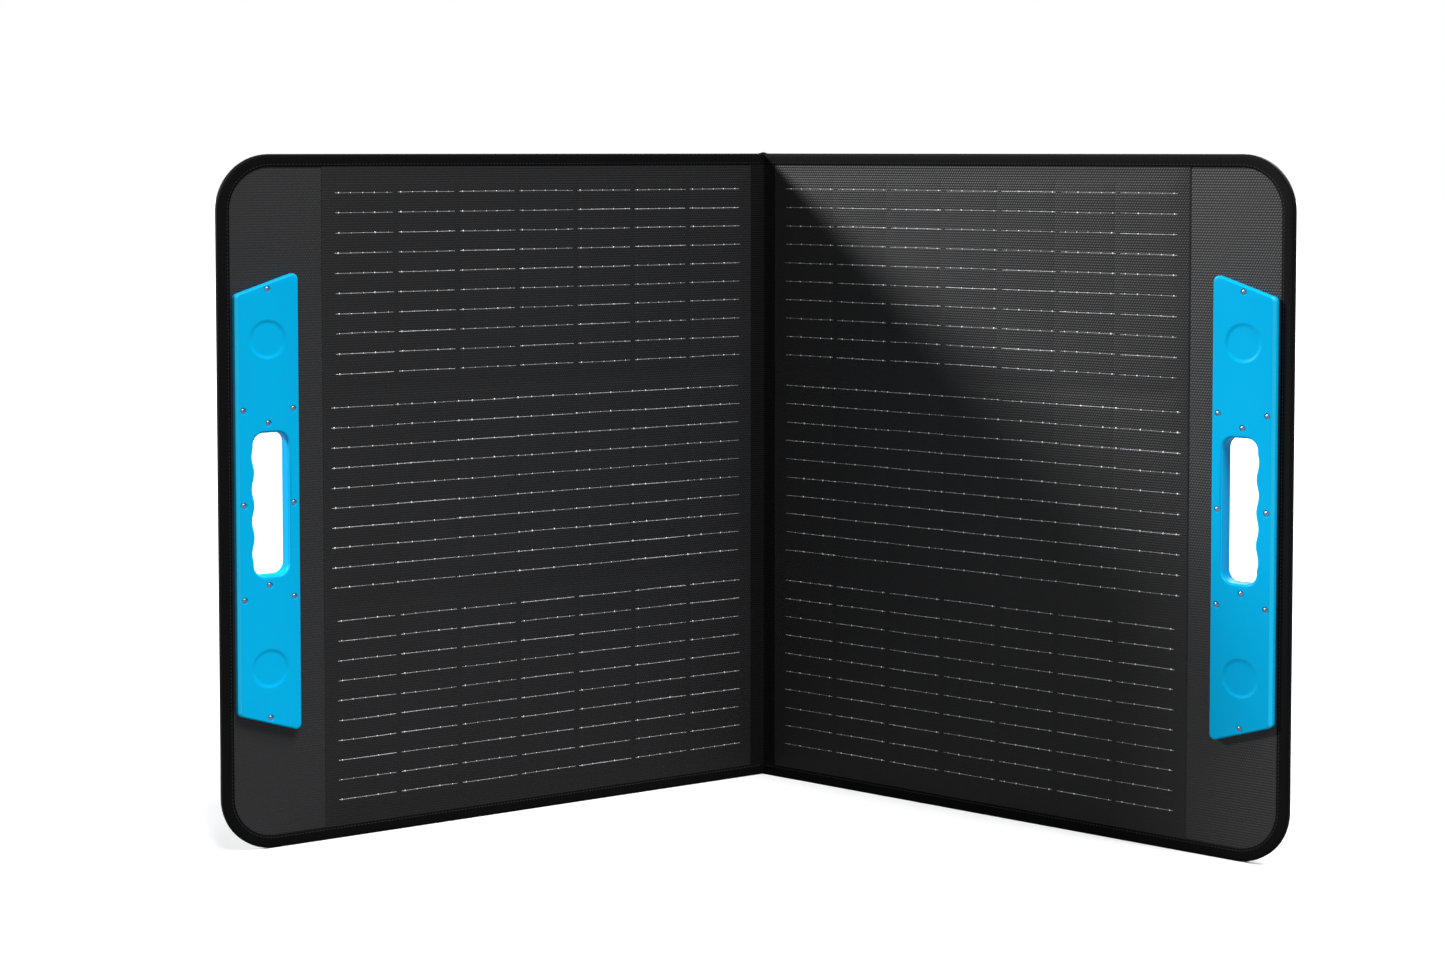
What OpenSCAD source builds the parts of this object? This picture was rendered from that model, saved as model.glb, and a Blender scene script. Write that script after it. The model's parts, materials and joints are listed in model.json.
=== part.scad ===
// Two-leaf folding solar panel that stands like an open book.
// Two stiff cloth-covered leaves carry the cells on their front faces. A cloth spine joins them,
// each has a moulded carrying handle and a rear prop stand, and the right leaf's back has a
// pocket and a charge regulator.
//
// Each leaf is drawn in its own frame: x runs from the fold axis towards the handle, y runs from
// the front face towards the back, and z is height. The left leaf is the right one mirrored.

/* [Leaf] */
// Angle between the front faces of the two leaves
open_angle = 110.3; // [100:0.1:130]
// Distance from the fold axis to the outer edge of a leaf
leaf_w = 567.7; // [566:0.1:600]
// Height of a leaf
leaf_h = 622; // [616:1:660]
// Radius of the outer corners
corner_r = 50; // [30:1:80]
// Distance from the fold axis to the front faces of the leaves
fold_gap = 3; // [3:0.1:5]
// Width of the binding tape on each face
binding_w = 11.5; // [8:0.5:12]
// Width of the spine cloth on each face of a leaf
spine_w = 12.5; // [10:0.5:14]

/* [Cells] */
// Length of a cell, along the height of the leaf
cell_h = 182; // [176:0.5:182]
// Width of a cell, a third of its length
cell_w = 60.67; // [58:0.01:60.67]
// Distance from one cell to the next in a string
cell_pitch = 62.2; // [62:0.1:62.4]
// Number of cells in a string
cells_per_string = 7; // [5:1:7]
// Gap between one string and the next
string_gap = 12.2; // [8:0.1:12.2]
// Number of ribbons on a cell
ribbon_count = 10; // [6:1:12]
// Distance from the fold axis to the first cell
cell_x0 = 20.8; // [20:0.1:24]
// Outer edge of the laminate
film_x1 = 468.7; // [468:0.1:480]

/* [Handle] */
// Distance from the fold axis to the inner side of the handle plate
plate_x0 = 494.7; // [490:0.1:500]
// Width of the handle plate
plate_w = 59.5; // [58:0.1:60]
// Length of the plate's inner side
plate_long = 413; // [412:1:430]
// Length of the plate's outer side
plate_short = 374; // [370:1:380]
// Height of the plate above the front face
plate_rise = 7; // [6.5:0.1:8]
// Distance from the fold axis to the straight side of the grip hole
grip_x0 = 505.7; // [505:0.1:507]
// Width of the grip hole
grip_w = 32.4; // [32:0.1:36]
// Length of the grip hole
grip_h = 127.5; // [124:0.5:128]
// Distance from one finger scallop to the next
finger_pitch = 29; // [27:0.5:29]
// Radius of the round dishes over the magnets
dish_r = 17; // [15:0.5:17]
// Distance of the dishes from the middle of the plate
dish_z = 147; // [140:1:150]

/* [Prop stand] */
// Distance from the fold axis to the near side of the stand
stand_x0 = 92; // [60:1:110]
// Width of the stand
stand_w = 300; // [240:1:320]
// Height of the foot of the stand
stand_z0 = 62; // [40:1:80]
// Height of the top of the stand, where it is hinged
stand_top = 400; // [380:1:405]

/* [Pocket and regulator] */
// Distance from the fold axis to the near side of the pocket
pocket_x0 = 205; // [190:1:220]
// Width of the pocket
pocket_w = 235; // [180:1:240]
// Height of the bottom of the pocket
pocket_z0 = 440; // [436:1:460]
// Height of the top of the pocket
pocket_top = 590; // [580:1:590]
// Distance from the fold axis to the near side of the regulator
box_x0 = 60; // [50:1:70]
// Height of the bottom of the regulator
box_z0 = 468; // [460:1:470]

/* [Hidden] */
LEAF_NODES = [
    "core_board", "face_fabric", "rear_cover", "binding", "backsheet", "bus_strips", "cells",
    "ribbons", "film", "handle_front", "handle_rear", "handle_screws", "handle_magnets",
    "stand_board", "stand_cover", "stand_hinge_tape", "stand_straps", "stand_hook_pad",
    "stand_loop_pad"
];
SPINE_NODES = ["spine_web", "spine_cover", "spine_binding", "link_cables"];
POCKET_NODES = [
    "pocket_shell", "pocket_flap", "pocket_flap_tape", "pocket_hook_pad", "pocket_loop_pad"
];
REGULATOR_NODES = [
    "regulator_base", "regulator_lid", "regulator_board", "regulator_screws", "usb_a_socket",
    "usb_c_socket", "status_light", "output_gland", "dust_cap"
];

handle_blue = "#00a9e8";
cloth_black = "#1b1b1e";
tape_black = "#0c0c0d";
cell_black = "#15161c";
plastic_black = "#202022";
board_grey = "#8d8f92";
board_green = "#1f5a35";
steel = "silver";
copper = "#b87333";

past = 1;            // how far a cut runs past the faces that it opens
slip = 0.3;          // clearance round a piece that passes through another
skim = 0.02;         // keeps flat faces of different bodies from meeting in one plane
fit = 0.05;          // clearance round a screwed-in piece
arc_steps = 14;      // straight steps in a quarter turn of an outline
round_fn = 48;

// Depths of the layers, from the front face of the binding
film_y = 0.15;
ribbon_y = 0.35;
cell_y = 0.45;
backsheet_y = 0.65;
face_y = 1.0;
core_y = 1.6;
core_back_y = 4.4;
back_y = 5.0;
leaf_t = 6.0;
tape_t = 1.0;

lean = (180 - open_angle) / 2;
leaf_x0 = 0.5;
mid_z = leaf_h / 2;
fold_y = (leaf_w * sin(lean) - fold_gap * cos(lean) - fold_gap - leaf_t) / 2;

string_pitch = cell_h + string_gap;
cells_z0 = mid_z - (3 * cell_h + 2 * string_gap) / 2;
ribbon_pitch = cell_h / ribbon_count;
ribbon_w = 0.8;
cells_x1 = cell_x0 + (cells_per_string - 1) * cell_pitch + cell_w;
bus_w = 5;
bus_gap = 1;
ribbon_run = 57;
ribbon_start = cells_x1 + 1.5;
turned_run = 60;
turned_start = cells_x1 + 6.5;

plate_x1 = plate_x0 + plate_w;
plate_slope = (plate_long - plate_short) / 2 / plate_w;
plate_corner_r = 4.5;
plate_wall = 2.2;
plate_bevel = 1.2;
plate_face_y = -plate_rise;
rear_plate_t = 5;
plate_back_y = back_y + rear_plate_t;
grip_x1 = grip_x0 + grip_w;
grip_corner_r = 10;
finger_depth = 1.1;
finger_count = 4;
finger_steps = 10;
sleeve_wall = 2;
screw_r = 1.4;
screw_head_r = 2.25;
screw_head_h = 0.9;
screw_seat_r = 3.1;
boss_r = 3.2;
dish_depth = 1.2;
dish_floor = 1.5;
magnet_r = 12;
magnet_t = 3;
magnet_y = plate_face_y + dish_depth + dish_floor;
plate_mid_x = plate_x0 + plate_w / 2 - 0.25;
end_screw_z = 191.5;
grip_screw_z = 72.5;
side_screw_x = 23.5;
side_screw_z = 84.3;
screw_places = [
    for (s = [-1, 1], z = [end_screw_z, grip_screw_z]) [plate_mid_x, mid_z + s * z],
    for (s = [-1, 1], t = [-1, 0, 1]) [plate_mid_x + s * side_screw_x, mid_z + t * side_screw_z]
];

stand_x1 = stand_x0 + stand_w;
stand_y = 7;
stand_t = 5;
stand_skin = 0.6;
stand_corner_r = 30;
stand_tape_inset = 8;
stand_tape_h = 28;
stand_pad_w = 70;
stand_pad_h = 25;
stand_pad_z = stand_z0 + 14;
strap_w = 20;
strap_x = 35;
strap_z0 = 90;
strap_h = 30;
strap_gap = 0.2;

pocket_x1 = pocket_x0 + pocket_w;
pocket_y = 27;
pocket_wall = 1.5;
pad_t = 0.8;
flap_over = 3;
flap_y = pocket_y + 2 * pad_t;
flap_z = pocket_top + 1.5;
flap_drop = 58;
flap_tape_h = 16;
pocket_pad_w = 120;
pocket_pad_h = 20;
pocket_pad_z = flap_z - flap_drop + 5;

box_w = 105;
box_h = 92;
box_x1 = box_x0 + box_w;
box_z1 = box_z0 + box_h;
box_y = 7;
box_face_y = 25;
box_wall = 2;
box_corner_r = 6;
bay_w = 40;
bay_x0 = box_x0 + 32;
bay_x1 = bay_x0 + bay_w;
bay_y0 = 10;
bay_y1 = 21.5;
bay_depth = 5;
bay_wall = 1.5;
bay_floor_z = box_z1 - bay_depth;
board_y = 11.4;
board_t = 1.6;
board_inset_x = 13;
board_inset_z = 12;
board_post_r = 2.5;
board_post_x = 18;
board_post_z = [box_z0 + 18, box_z1 - 15];
chip_gap = 2;
box_screw_inset = 8;
box_screw_r = 1.2;
box_screw_head_r = 2.4;
box_screw_head_h = 1;
box_boss_r = 3.5;
box_screw_places = [
    for (x = [box_x0 + box_screw_inset, box_x1 - box_screw_inset],
        z = [box_z0 + box_screw_inset, box_z1 - box_screw_inset]) [x, z]
];
usb_y = board_y + board_t;
usb_a_x = bay_x0 + 3;
usb_a_size = [13.2, 5.8, 12];
usb_a_wall = 0.4;
usb_c_x = bay_x0 + 25;
usb_c_size = [9, 3.3, 9];
usb_c_wall = 0.35;
usb_c_corner_r = 1.4;
tongue_inset = 1;
light_place = [box_x1 - 22, box_z1 - 26];
light_r = 1.6;
light_l = 4;
light_rise = 0.4;
gland_x = box_x0 + 52.5;
gland_y = 17;
gland_bore_r = 3;
gland_thread_r = 5;
gland_thread_l = 6;
gland_nut_r = 6.4;
gland_nut_l = 12;
gland_collar_r = 8;
gland_collar_l = 3;
gland_tip_r = 5.2;
gland_l = 18;
cap_t = 2;
cap_over = 3;
cap_reach = 2;
cap_tab_w = 12;
cable_r = 1.2;
cable_heights = [leaf_h - 62, leaf_h - 82];
cable_reach = 36;

// Outline points of a quarter turn about a centre
function arc(x, z, r, from) = [
    for (i = [0:arc_steps]) let (t = from + 90 * i / arc_steps) [x + r * cos(t), z + r * sin(t)]
];

function unit(v) = v / norm(v);

// Arc that rounds the corner b between its neighbours a and c
function fillet(a, b, c, r, steps = 6) = let (
    to_a = unit(a - b),
    to_c = unit(c - b),
    half = acos(to_a * to_c) / 2,
    centre = b + unit(to_a + to_c) * r / sin(half),
    start = b + to_a * r / tan(half) - centre,
    sweep = -sign(cross(to_a, to_c)) * (180 - 2 * half)
) [
    for (i = [0:steps]) let (t = sweep * i / steps)
        centre + [start.x * cos(t) - start.y * sin(t), start.x * sin(t) + start.y * cos(t)]
];

function rounded(p, r) = [
    for (i = [0:len(p) - 1]) each fillet(p[(i + len(p) - 1) % len(p)], p[i], p[(i + 1) % len(p)], r)
];

function box_points(x0, x1, z0, z1) = [[x0, z0], [x1, z0], [x1, z1], [x0, z1]];

// Leaf outline, open to the fold at x = inner
function leaf_points(inset, inner = leaf_x0) = concat(
    [[inner, inset]],
    arc(leaf_w - corner_r, corner_r, corner_r - inset, -90),
    arc(leaf_w - corner_r, leaf_h - corner_r, corner_r - inset, 0),
    [[inner, leaf_h - inset]]
);

function plate_half(x, inset) =
    plate_long / 2 - plate_slope * (x - plate_x0) - inset * sqrt(1 + plate_slope * plate_slope);

// Handle plate outline, with its slanted ends
function plate_points(inset) = let (x0 = plate_x0 + inset, x1 = plate_x1 - inset) rounded([
    [x0, mid_z - plate_half(x0, inset)], [x1, mid_z - plate_half(x1, inset)],
    [x1, mid_z + plate_half(x1, inset)], [x0, mid_z + plate_half(x0, inset)]
], plate_corner_r - inset / 2);

// Grip hole outline, with the finger scallops on its outer side
function grip_points(grow) = let (
    half = grip_h / 2,
    r = grip_corner_r,
    reach = (finger_count - 0.5) * finger_pitch / 2,
    steps = 2 * finger_count * finger_steps
) concat(
    arc(grip_x0 + r, mid_z - half + r, r + grow, 180),
    arc(grip_x1 - r, mid_z - half + r, r + grow, 270),
    [for (i = [0:steps]) let (z = reach * (2 * i / steps - 1))
        [grip_x1 + grow - finger_depth * cos(360 * z / finger_pitch), mid_z + z]],
    arc(grip_x1 - r, mid_z + half - r, r + grow, 0),
    arc(grip_x0 + r, mid_z + half - r, r + grow, 90)
);

// Stand outline, square at the top and round at the foot
function stand_points(inset, top) = let (r = stand_corner_r) concat(
    [[stand_x0 + inset, top]],
    arc(stand_x0 + r, stand_z0 + r, r - inset, 180),
    arc(stand_x1 - r, stand_z0 + r, r - inset, 270),
    [[stand_x1 - inset, top]]
);

// One side of a strip that crosses the fold at radius r and reaches along both leaves
function fold_side(r, reach) = let (
    x = reach * cos(lean) + r * sin(lean),
    y = r * cos(lean) - reach * sin(lean)
) concat(
    [[x, y]],
    [for (i = [0:arc_steps]) let (t = 90 - lean + 2 * lean * i / arc_steps) [r * cos(t), r * sin(t)]],
    [[-x, y]]
);

function reversed(p) = [for (i = [len(p) - 1:-1:0]) p[i]];

function fold_points(r0, r1, reach) = concat(fold_side(r1, reach), reversed(fold_side(r0, reach)));

function dome_points(r, h) = concat([[0, 0]], [for (i = [0:6]) [r * cos(15 * i), h * sin(15 * i)]]);

module right() {
    translate([0, fold_y, 0])
        rotate(-lean)
            translate([0, fold_gap, 0])
                children();
}

module left() {
    mirror([1, 0, 0])
        right()
            children();
}

// Solid of a face outline between two depths
module slab(y0, y1) {
    translate([0, y1, 0])
        rotate([90, 0, 0])
            linear_extrude(y1 - y0)
                children();
}

module block(x0, x1, y0, y1, z0, z1) {
    translate([x0, y0, z0])
        cube([x1 - x0, y1 - y0, z1 - z0]);
}

// Cylinder through a leaf, between two depths
module rod(place, r, y0, y1) {
    translate([place.x, y0, place.y])
        rotate([-90, 0, 0])
            cylinder(r = r, h = y1 - y0, $fn = round_fn);
}

// Strip across the fold, between two heights
module fold_strip(r0, r1, reach, z0, z1) {
    translate([0, fold_y, z0])
        linear_extrude(z1 - z0)
            polygon(fold_points(r0, r1, reach));
}

// Opening that the handle's sleeve and screws need in every layer of the leaf
module handle_cut(y0, y1) {
    slab(y0 - past, y1 + past)
        polygon(grip_points(sleeve_wall + slip));
    for (place = screw_places)
        rod(place, screw_r + slip, y0 - past, y1 + past);
}

module leaf_layer(y0, y1) {
    difference() {
        slab(y0, y1)
            polygon(leaf_points(tape_t));
        handle_cut(y0, y1);
    }
}

module core_board() {
    color(board_grey)
        difference() {
            leaf_layer(core_y, core_back_y);
            for (z = cable_heights)
                block(-past, cable_reach + 2, core_y - past, core_back_y + past,
                    z - cable_r - slip, z + cable_r + slip);
        }
}

module face_fabric() {
    color(cloth_black)
        leaf_layer(face_y, core_y);
}

module rear_cover() {
    color(cloth_black)
        leaf_layer(core_back_y, back_y);
}

module binding() {
    color(tape_black)
        difference() {
            slab(0, leaf_t)
                polygon(leaf_points(0));
            slab(tape_t, back_y)
                polygon(leaf_points(tape_t, leaf_x0 - past));
            slab(-past, leaf_t + past)
                polygon(leaf_points(binding_w, leaf_x0 - past));
        }
}

module backsheet() {
    color(cell_black)
        block(spine_w, film_x1, backsheet_y, face_y, binding_w, leaf_h - binding_w);
}

module film() {
    color(cloth_black)
        block(spine_w, film_x1, film_y, ribbon_y, binding_w, leaf_h - binding_w);
}

module cells() {
    color(cell_black)
        for (row = [0:2], i = [0:cells_per_string - 1])
            let (x = cell_x0 + i * cell_pitch, z = cells_z0 + row * string_pitch)
                block(x, x + cell_w, cell_y, backsheet_y, z, z + cell_h);
}

// One ribbon over each cell in each row. The middle string faces the other way,
// so its ribbons start further out and leave a shorter gap.
module ribbons() {
    color(steel)
        for (row = [0:2])
            let (
                start = row == 1 ? turned_start : ribbon_start,
                run = row == 1 ? turned_run : ribbon_run
            )
                for (i = [0:cells_per_string - 1], k = [0:ribbon_count - 1])
                    let (
                        x1 = start - i * cell_pitch,
                        z = cells_z0 + row * string_pitch + (k + 0.5) * ribbon_pitch
                    )
                        block(x1 - run, x1, ribbon_y, cell_y, z - ribbon_w / 2, z + ribbon_w / 2);
}

// The strips at the ends of the strings join the three of them in series
module bus_strips() {
    outer_x = cells_x1 + bus_gap;
    inner_x = cell_x0 - bus_gap - bus_w;
    color(copper) {
        block(outer_x, outer_x + bus_w, cell_y, backsheet_y, cells_z0, cells_z0 + cell_h);
        block(outer_x, outer_x + bus_w, cell_y, backsheet_y,
            cells_z0 + string_pitch, cells_z0 + 2 * string_pitch + cell_h);
        block(inner_x, inner_x + bus_w, cell_y, backsheet_y,
            cells_z0, cells_z0 + string_pitch + cell_h);
        block(inner_x, inner_x + bus_w, cell_y, backsheet_y,
            cells_z0 + 2 * string_pitch, cells_z0 + 2 * string_pitch + cell_h);
    }
}

module handle_front() {
    color(handle_blue)
        difference() {
            union() {
                difference() {
                    hull() {
                        slab(plate_face_y + plate_bevel, face_y)
                            polygon(plate_points(0));
                        slab(plate_face_y, plate_face_y + plate_bevel)
                            polygon(plate_points(plate_bevel));
                    }
                    slab(plate_face_y + plate_wall, face_y + past)
                        polygon(plate_points(plate_wall));
                }
                slab(plate_face_y + plate_bevel, back_y)
                    polygon(grip_points(sleeve_wall));
                for (place = screw_places)
                    rod(place, boss_r, plate_face_y + plate_bevel, face_y);
                for (s = [-1, 1]) let (place = [plate_mid_x, mid_z + s * dish_z]) {
                    rod(place, dish_r + plate_wall, plate_face_y + plate_bevel, magnet_y);
                    difference() {
                        rod(place, magnet_r + plate_wall, magnet_y - past, magnet_y + magnet_t);
                        rod(place, magnet_r + fit, magnet_y, magnet_y + magnet_t + past);
                    }
                }
            }
            slab(plate_face_y - past, back_y + past)
                polygon(grip_points(0));
            for (place = screw_places) {
                rod(place, screw_r + slip, plate_face_y - past, face_y + past);
                rod(place, screw_seat_r, plate_face_y - past, plate_face_y + screw_head_h);
            }
            for (s = [-1, 1])
                rod([plate_mid_x, mid_z + s * dish_z], dish_r, plate_face_y - past,
                    plate_face_y + dish_depth);
        }
}

module handle_rear() {
    color(handle_blue)
        difference() {
            union() {
                difference() {
                    hull() {
                        slab(back_y, plate_back_y - plate_bevel)
                            polygon(plate_points(0));
                        slab(plate_back_y - plate_bevel, plate_back_y)
                            polygon(plate_points(plate_bevel));
                    }
                    slab(back_y - past, plate_back_y - plate_wall)
                        polygon(plate_points(plate_wall));
                }
                slab(back_y, plate_back_y - plate_bevel)
                    polygon(grip_points(sleeve_wall));
                for (place = screw_places)
                    rod(place, boss_r, back_y, plate_back_y - plate_bevel);
            }
            slab(back_y - past, plate_back_y + past)
                polygon(grip_points(0));
            for (place = screw_places)
                rod(place, screw_r + fit, back_y - past, plate_back_y - plate_bevel - slip);
        }
}

module dome_screw(head_r, head_h, shank_r, shank) {
    difference() {
        union() {
            rotate_extrude($fn = round_fn)
                polygon(dome_points(head_r, head_h));
            translate([0, 0, -shank])
                cylinder(r = shank_r, h = shank + head_h / 3, $fn = round_fn);
        }
        for (turn = [0, 90])
            rotate(turn)
                translate([-head_r * 0.6, -0.3, head_h * 0.45])
                    cube([head_r * 1.2, 0.6, head_h]);
    }
}

module handle_screws() {
    color(steel)
        for (place = screw_places)
            translate([place.x, plate_face_y + screw_head_h, place.y])
                rotate([90, 0, 0])
                    dome_screw(screw_head_r, screw_head_h, screw_r,
                        plate_back_y - plate_wall - 1 - plate_face_y - screw_head_h);
}

module handle_magnets() {
    color(steel)
        for (s = [-1, 1])
            rod([plate_mid_x, mid_z + s * dish_z], magnet_r, magnet_y, magnet_y + magnet_t);
}

module stand_board() {
    color(board_grey)
        slab(stand_y + stand_skin, stand_y + stand_t - stand_skin)
            polygon(stand_points(tape_t, stand_top));
}

// Sleeve that the board slides into from above
module stand_cover() {
    color(cloth_black)
        difference() {
            slab(stand_y, stand_y + stand_t)
                polygon(stand_points(0, stand_top));
            slab(stand_y + stand_skin, stand_y + stand_t - stand_skin)
                polygon(stand_points(tape_t, stand_top + past));
        }
}

// Tape glued to the leaf above the stand, and turned out over the stand's top end
module stand_hinge_tape() {
    color(tape_black) {
        block(stand_x0 + stand_tape_inset, stand_x1 - stand_tape_inset,
            back_y, back_y + pad_t, stand_top, stand_top + stand_tape_h);
        block(stand_x0 + stand_tape_inset, stand_x1 - stand_tape_inset,
            back_y + pad_t, stand_y + stand_t, stand_top, stand_top + pad_t);
    }
}

// Folded limiter straps in the gap between the leaf and the stand
module stand_straps() {
    color(tape_black)
        for (x = [stand_x0 + strap_x, stand_x1 - strap_x])
            block(x - strap_w / 2, x + strap_w / 2, back_y + strap_gap, stand_y - strap_gap,
                strap_z0, strap_z0 + strap_h);
}

module stand_pad(y0, y1) {
    x = (stand_x0 + stand_x1) / 2;
    color(plastic_black)
        block(x - stand_pad_w / 2, x + stand_pad_w / 2, y0, y1,
            stand_pad_z, stand_pad_z + stand_pad_h);
}

module stand_loop_pad() {
    stand_pad(back_y, (back_y + stand_y) / 2);
}

module stand_hook_pad() {
    stand_pad((back_y + stand_y) / 2, stand_y);
}

module spine_web() {
    color(tape_black)
        fold_strip(fold_gap, fold_gap + tape_t - skim, spine_w, binding_w, leaf_h - binding_w);
}

module spine_cover() {
    color(tape_black)
        fold_strip(fold_gap + back_y + skim, fold_gap + leaf_t, spine_w,
            binding_w, leaf_h - binding_w);
}

// Binding tape that carries on across the fold at the top and at the bottom
module spine_binding() {
    color(tape_black)
        for (z0 = [0, leaf_h - binding_w])
            let (wall_z = z0 == 0 ? 0 : leaf_h - tape_t) {
                fold_strip(fold_gap, fold_gap + tape_t, leaf_x0, z0, z0 + binding_w);
                fold_strip(fold_gap + back_y, fold_gap + leaf_t, leaf_x0, z0, z0 + binding_w);
                fold_strip(fold_gap, fold_gap + leaf_t, leaf_x0, wall_z, wall_z + tape_t);
            }
}

// Two wires that carry the left leaf's current across the fold
module link_cables() {
    r = fold_gap + (core_y + core_back_y) / 2;
    color(copper)
        for (z = cable_heights) {
            translate([0, fold_y, z])
                rotate(90 - lean)
                    rotate_extrude(angle = 2 * lean, $fn = round_fn)
                        translate([r, 0])
                            circle(r = cable_r, $fn = round_fn);
            for (s = [-1, 1])
                translate([0, fold_y, z])
                    rotate(-s * lean)
                        translate([0, r, 0])
                            rotate([0, s * 90, 0])
                                cylinder(r = cable_r, h = cable_reach, $fn = round_fn);
        }
}

// Cloth bag sewn to the leaf by its edges, open at the top
module pocket_shell() {
    color(cloth_black)
        difference() {
            block(pocket_x0, pocket_x1, back_y, pocket_y, pocket_z0, pocket_top);
            block(pocket_x0 + pocket_wall, pocket_x1 - pocket_wall, back_y - past,
                pocket_y - pocket_wall, pocket_z0 + pocket_wall, pocket_top + past);
        }
}

// Flap that covers the pocket's mouth and hangs down its front
module pocket_flap() {
    color(cloth_black)
        difference() {
            block(pocket_x0 - flap_over, pocket_x1 + flap_over, back_y + pad_t,
                flap_y + pocket_wall, flap_z - flap_drop, flap_z + pocket_wall);
            block(pocket_x0 - flap_over - past, pocket_x1 + flap_over + past, back_y - past,
                flap_y, flap_z - flap_drop - past, flap_z);
        }
}

module pocket_flap_tape() {
    color(tape_black)
        block(pocket_x0 - flap_over, pocket_x1 + flap_over, back_y, back_y + pad_t,
            flap_z, flap_z + flap_tape_h);
}

module pocket_pad(y0, y1) {
    x = (pocket_x0 + pocket_x1) / 2;
    color(plastic_black)
        block(x - pocket_pad_w / 2, x + pocket_pad_w / 2, y0, y1,
            pocket_pad_z, pocket_pad_z + pocket_pad_h);
}

module pocket_loop_pad() {
    pocket_pad(pocket_y, pocket_y + pad_t);
}

module pocket_hook_pad() {
    pocket_pad(pocket_y + pad_t, flap_y);
}

function box_outline(inset) = rounded(
    box_points(box_x0 + inset, box_x1 - inset, box_z0 + inset, box_z1 - inset),
    box_corner_r - inset
);

module regulator_base() {
    color(plastic_black)
        difference() {
            union() {
                slab(back_y, box_y)
                    polygon(box_outline(0));
                for (x = [box_x0 + board_post_x, box_x1 - board_post_x], z = board_post_z)
                    rod([x, z], board_post_r, back_y + past, board_y);
            }
            for (place = box_screw_places)
                rod(place, box_screw_r + fit, back_y + box_wall / 4, box_y + past);
        }
}

module regulator_lid() {
    color(plastic_black)
        difference() {
            union() {
                difference() {
                    slab(box_y, box_face_y)
                        polygon(box_outline(0));
                    slab(box_y - past, box_face_y - box_wall)
                        polygon(box_outline(box_wall));
                }
                for (place = box_screw_places)
                    rod(place, box_boss_r, box_y, box_face_y - box_wall / 2);
                block(bay_x0 - bay_wall, bay_x1 + bay_wall, bay_y0 - bay_wall,
                    box_face_y - box_wall / 2, bay_floor_z - bay_wall, box_z1 - box_wall / 2);
            }
            block(bay_x0, bay_x1, bay_y0, bay_y1, bay_floor_z, box_z1 + past);
            usb_a_body(0, past);
            usb_c_body(0, past);
            for (place = box_screw_places) {
                rod(place, box_screw_r + slip, box_y - past, box_face_y + past);
                rod(place, box_screw_head_r + slip, box_face_y - box_screw_head_h,
                    box_face_y + past);
            }
            rod(light_place, light_r, box_y, box_face_y + past);
            translate([gland_x, gland_y, box_z0 - past])
                cylinder(r = gland_thread_r + fit, h = box_wall + 2 * past, $fn = round_fn);
        }
}

// Circuit board with its coil, capacitor and power chip
module regulator_board() {
    chip_y = board_y + board_t;
    color(board_green) {
        block(box_x0 + board_inset_x, box_x1 - board_inset_x, board_y, chip_y,
            box_z0 + board_inset_z, bay_floor_z - bay_wall - chip_gap);
        translate([box_x0 + 22, chip_y, box_z0 + 20])
            cube([16, 8, 16]);
        translate([box_x1 - 36, chip_y, box_z0 + 22])
            cube([10, 7, 18]);
        translate([box_x0 + 24, chip_y, box_z0 + 48])
            cube([10, 5, 18]);
    }
}

module regulator_screws() {
    color(steel)
        for (place = box_screw_places)
            translate([place.x, box_face_y - box_screw_head_h, place.y])
                rotate([-90, 0, 0])
                    dome_screw(box_screw_head_r, box_screw_head_h, box_screw_r,
                        box_face_y - box_screw_head_h - box_y + 1);
}

// Outer shapes of the sockets, sunk below the floor of the port bay
module usb_a_body(inset, over) {
    block(usb_a_x + inset, usb_a_x + usb_a_size.x - inset,
        usb_y + inset, usb_y + usb_a_size.y - inset,
        bay_floor_z - usb_a_size.z + 2 * inset, bay_floor_z + over);
}

module usb_c_body(inset, over) {
    translate([0, 0, bay_floor_z - usb_c_size.z + 2 * inset])
        linear_extrude(usb_c_size.z - 2 * inset + over)
            polygon(rounded(
                box_points(usb_c_x + inset, usb_c_x + usb_c_size.x - inset,
                    usb_y + inset, usb_y + usb_c_size.y - inset),
                usb_c_corner_r - inset
            ));
}

module usb_a_socket() {
    color(steel)
        difference() {
            usb_a_body(0, 0);
            difference() {
                usb_a_body(usb_a_wall, past);
                block(usb_a_x + usb_a_wall + tongue_inset,
                    usb_a_x + usb_a_size.x - usb_a_wall - tongue_inset,
                    usb_y + 2 * usb_a_wall, usb_y + usb_a_size.y / 2,
                    bay_floor_z - usb_a_size.z, bay_floor_z - tongue_inset);
            }
        }
}

module usb_c_socket() {
    color(steel)
        difference() {
            usb_c_body(0, 0);
            difference() {
                usb_c_body(usb_c_wall, past);
                block(usb_c_x + usb_c_wall + tongue_inset,
                    usb_c_x + usb_c_size.x - usb_c_wall - tongue_inset,
                    usb_y + usb_c_size.y / 2 - usb_c_wall, usb_y + usb_c_size.y / 2 + usb_c_wall,
                    bay_floor_z - usb_c_size.z, bay_floor_z - tongue_inset);
            }
        }
}

module status_light() {
    color("#9fe8b0")
        rod(light_place, light_r, box_face_y - light_l, box_face_y + light_rise);
}

// Gland in the bottom wall that takes the output lead
module output_gland() {
    color(tape_black)
        translate([gland_x, gland_y, box_z0])
            rotate_extrude($fn = round_fn)
                polygon([
                    [gland_bore_r, -gland_l], [gland_tip_r, -gland_l], [gland_nut_r, -gland_nut_l],
                    [gland_nut_r, -gland_collar_l], [gland_collar_r, -gland_collar_l],
                    [gland_collar_r, 0], [gland_thread_r, 0], [gland_thread_r, gland_thread_l],
                    [gland_bore_r, gland_thread_l]
                ]);
}

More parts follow.
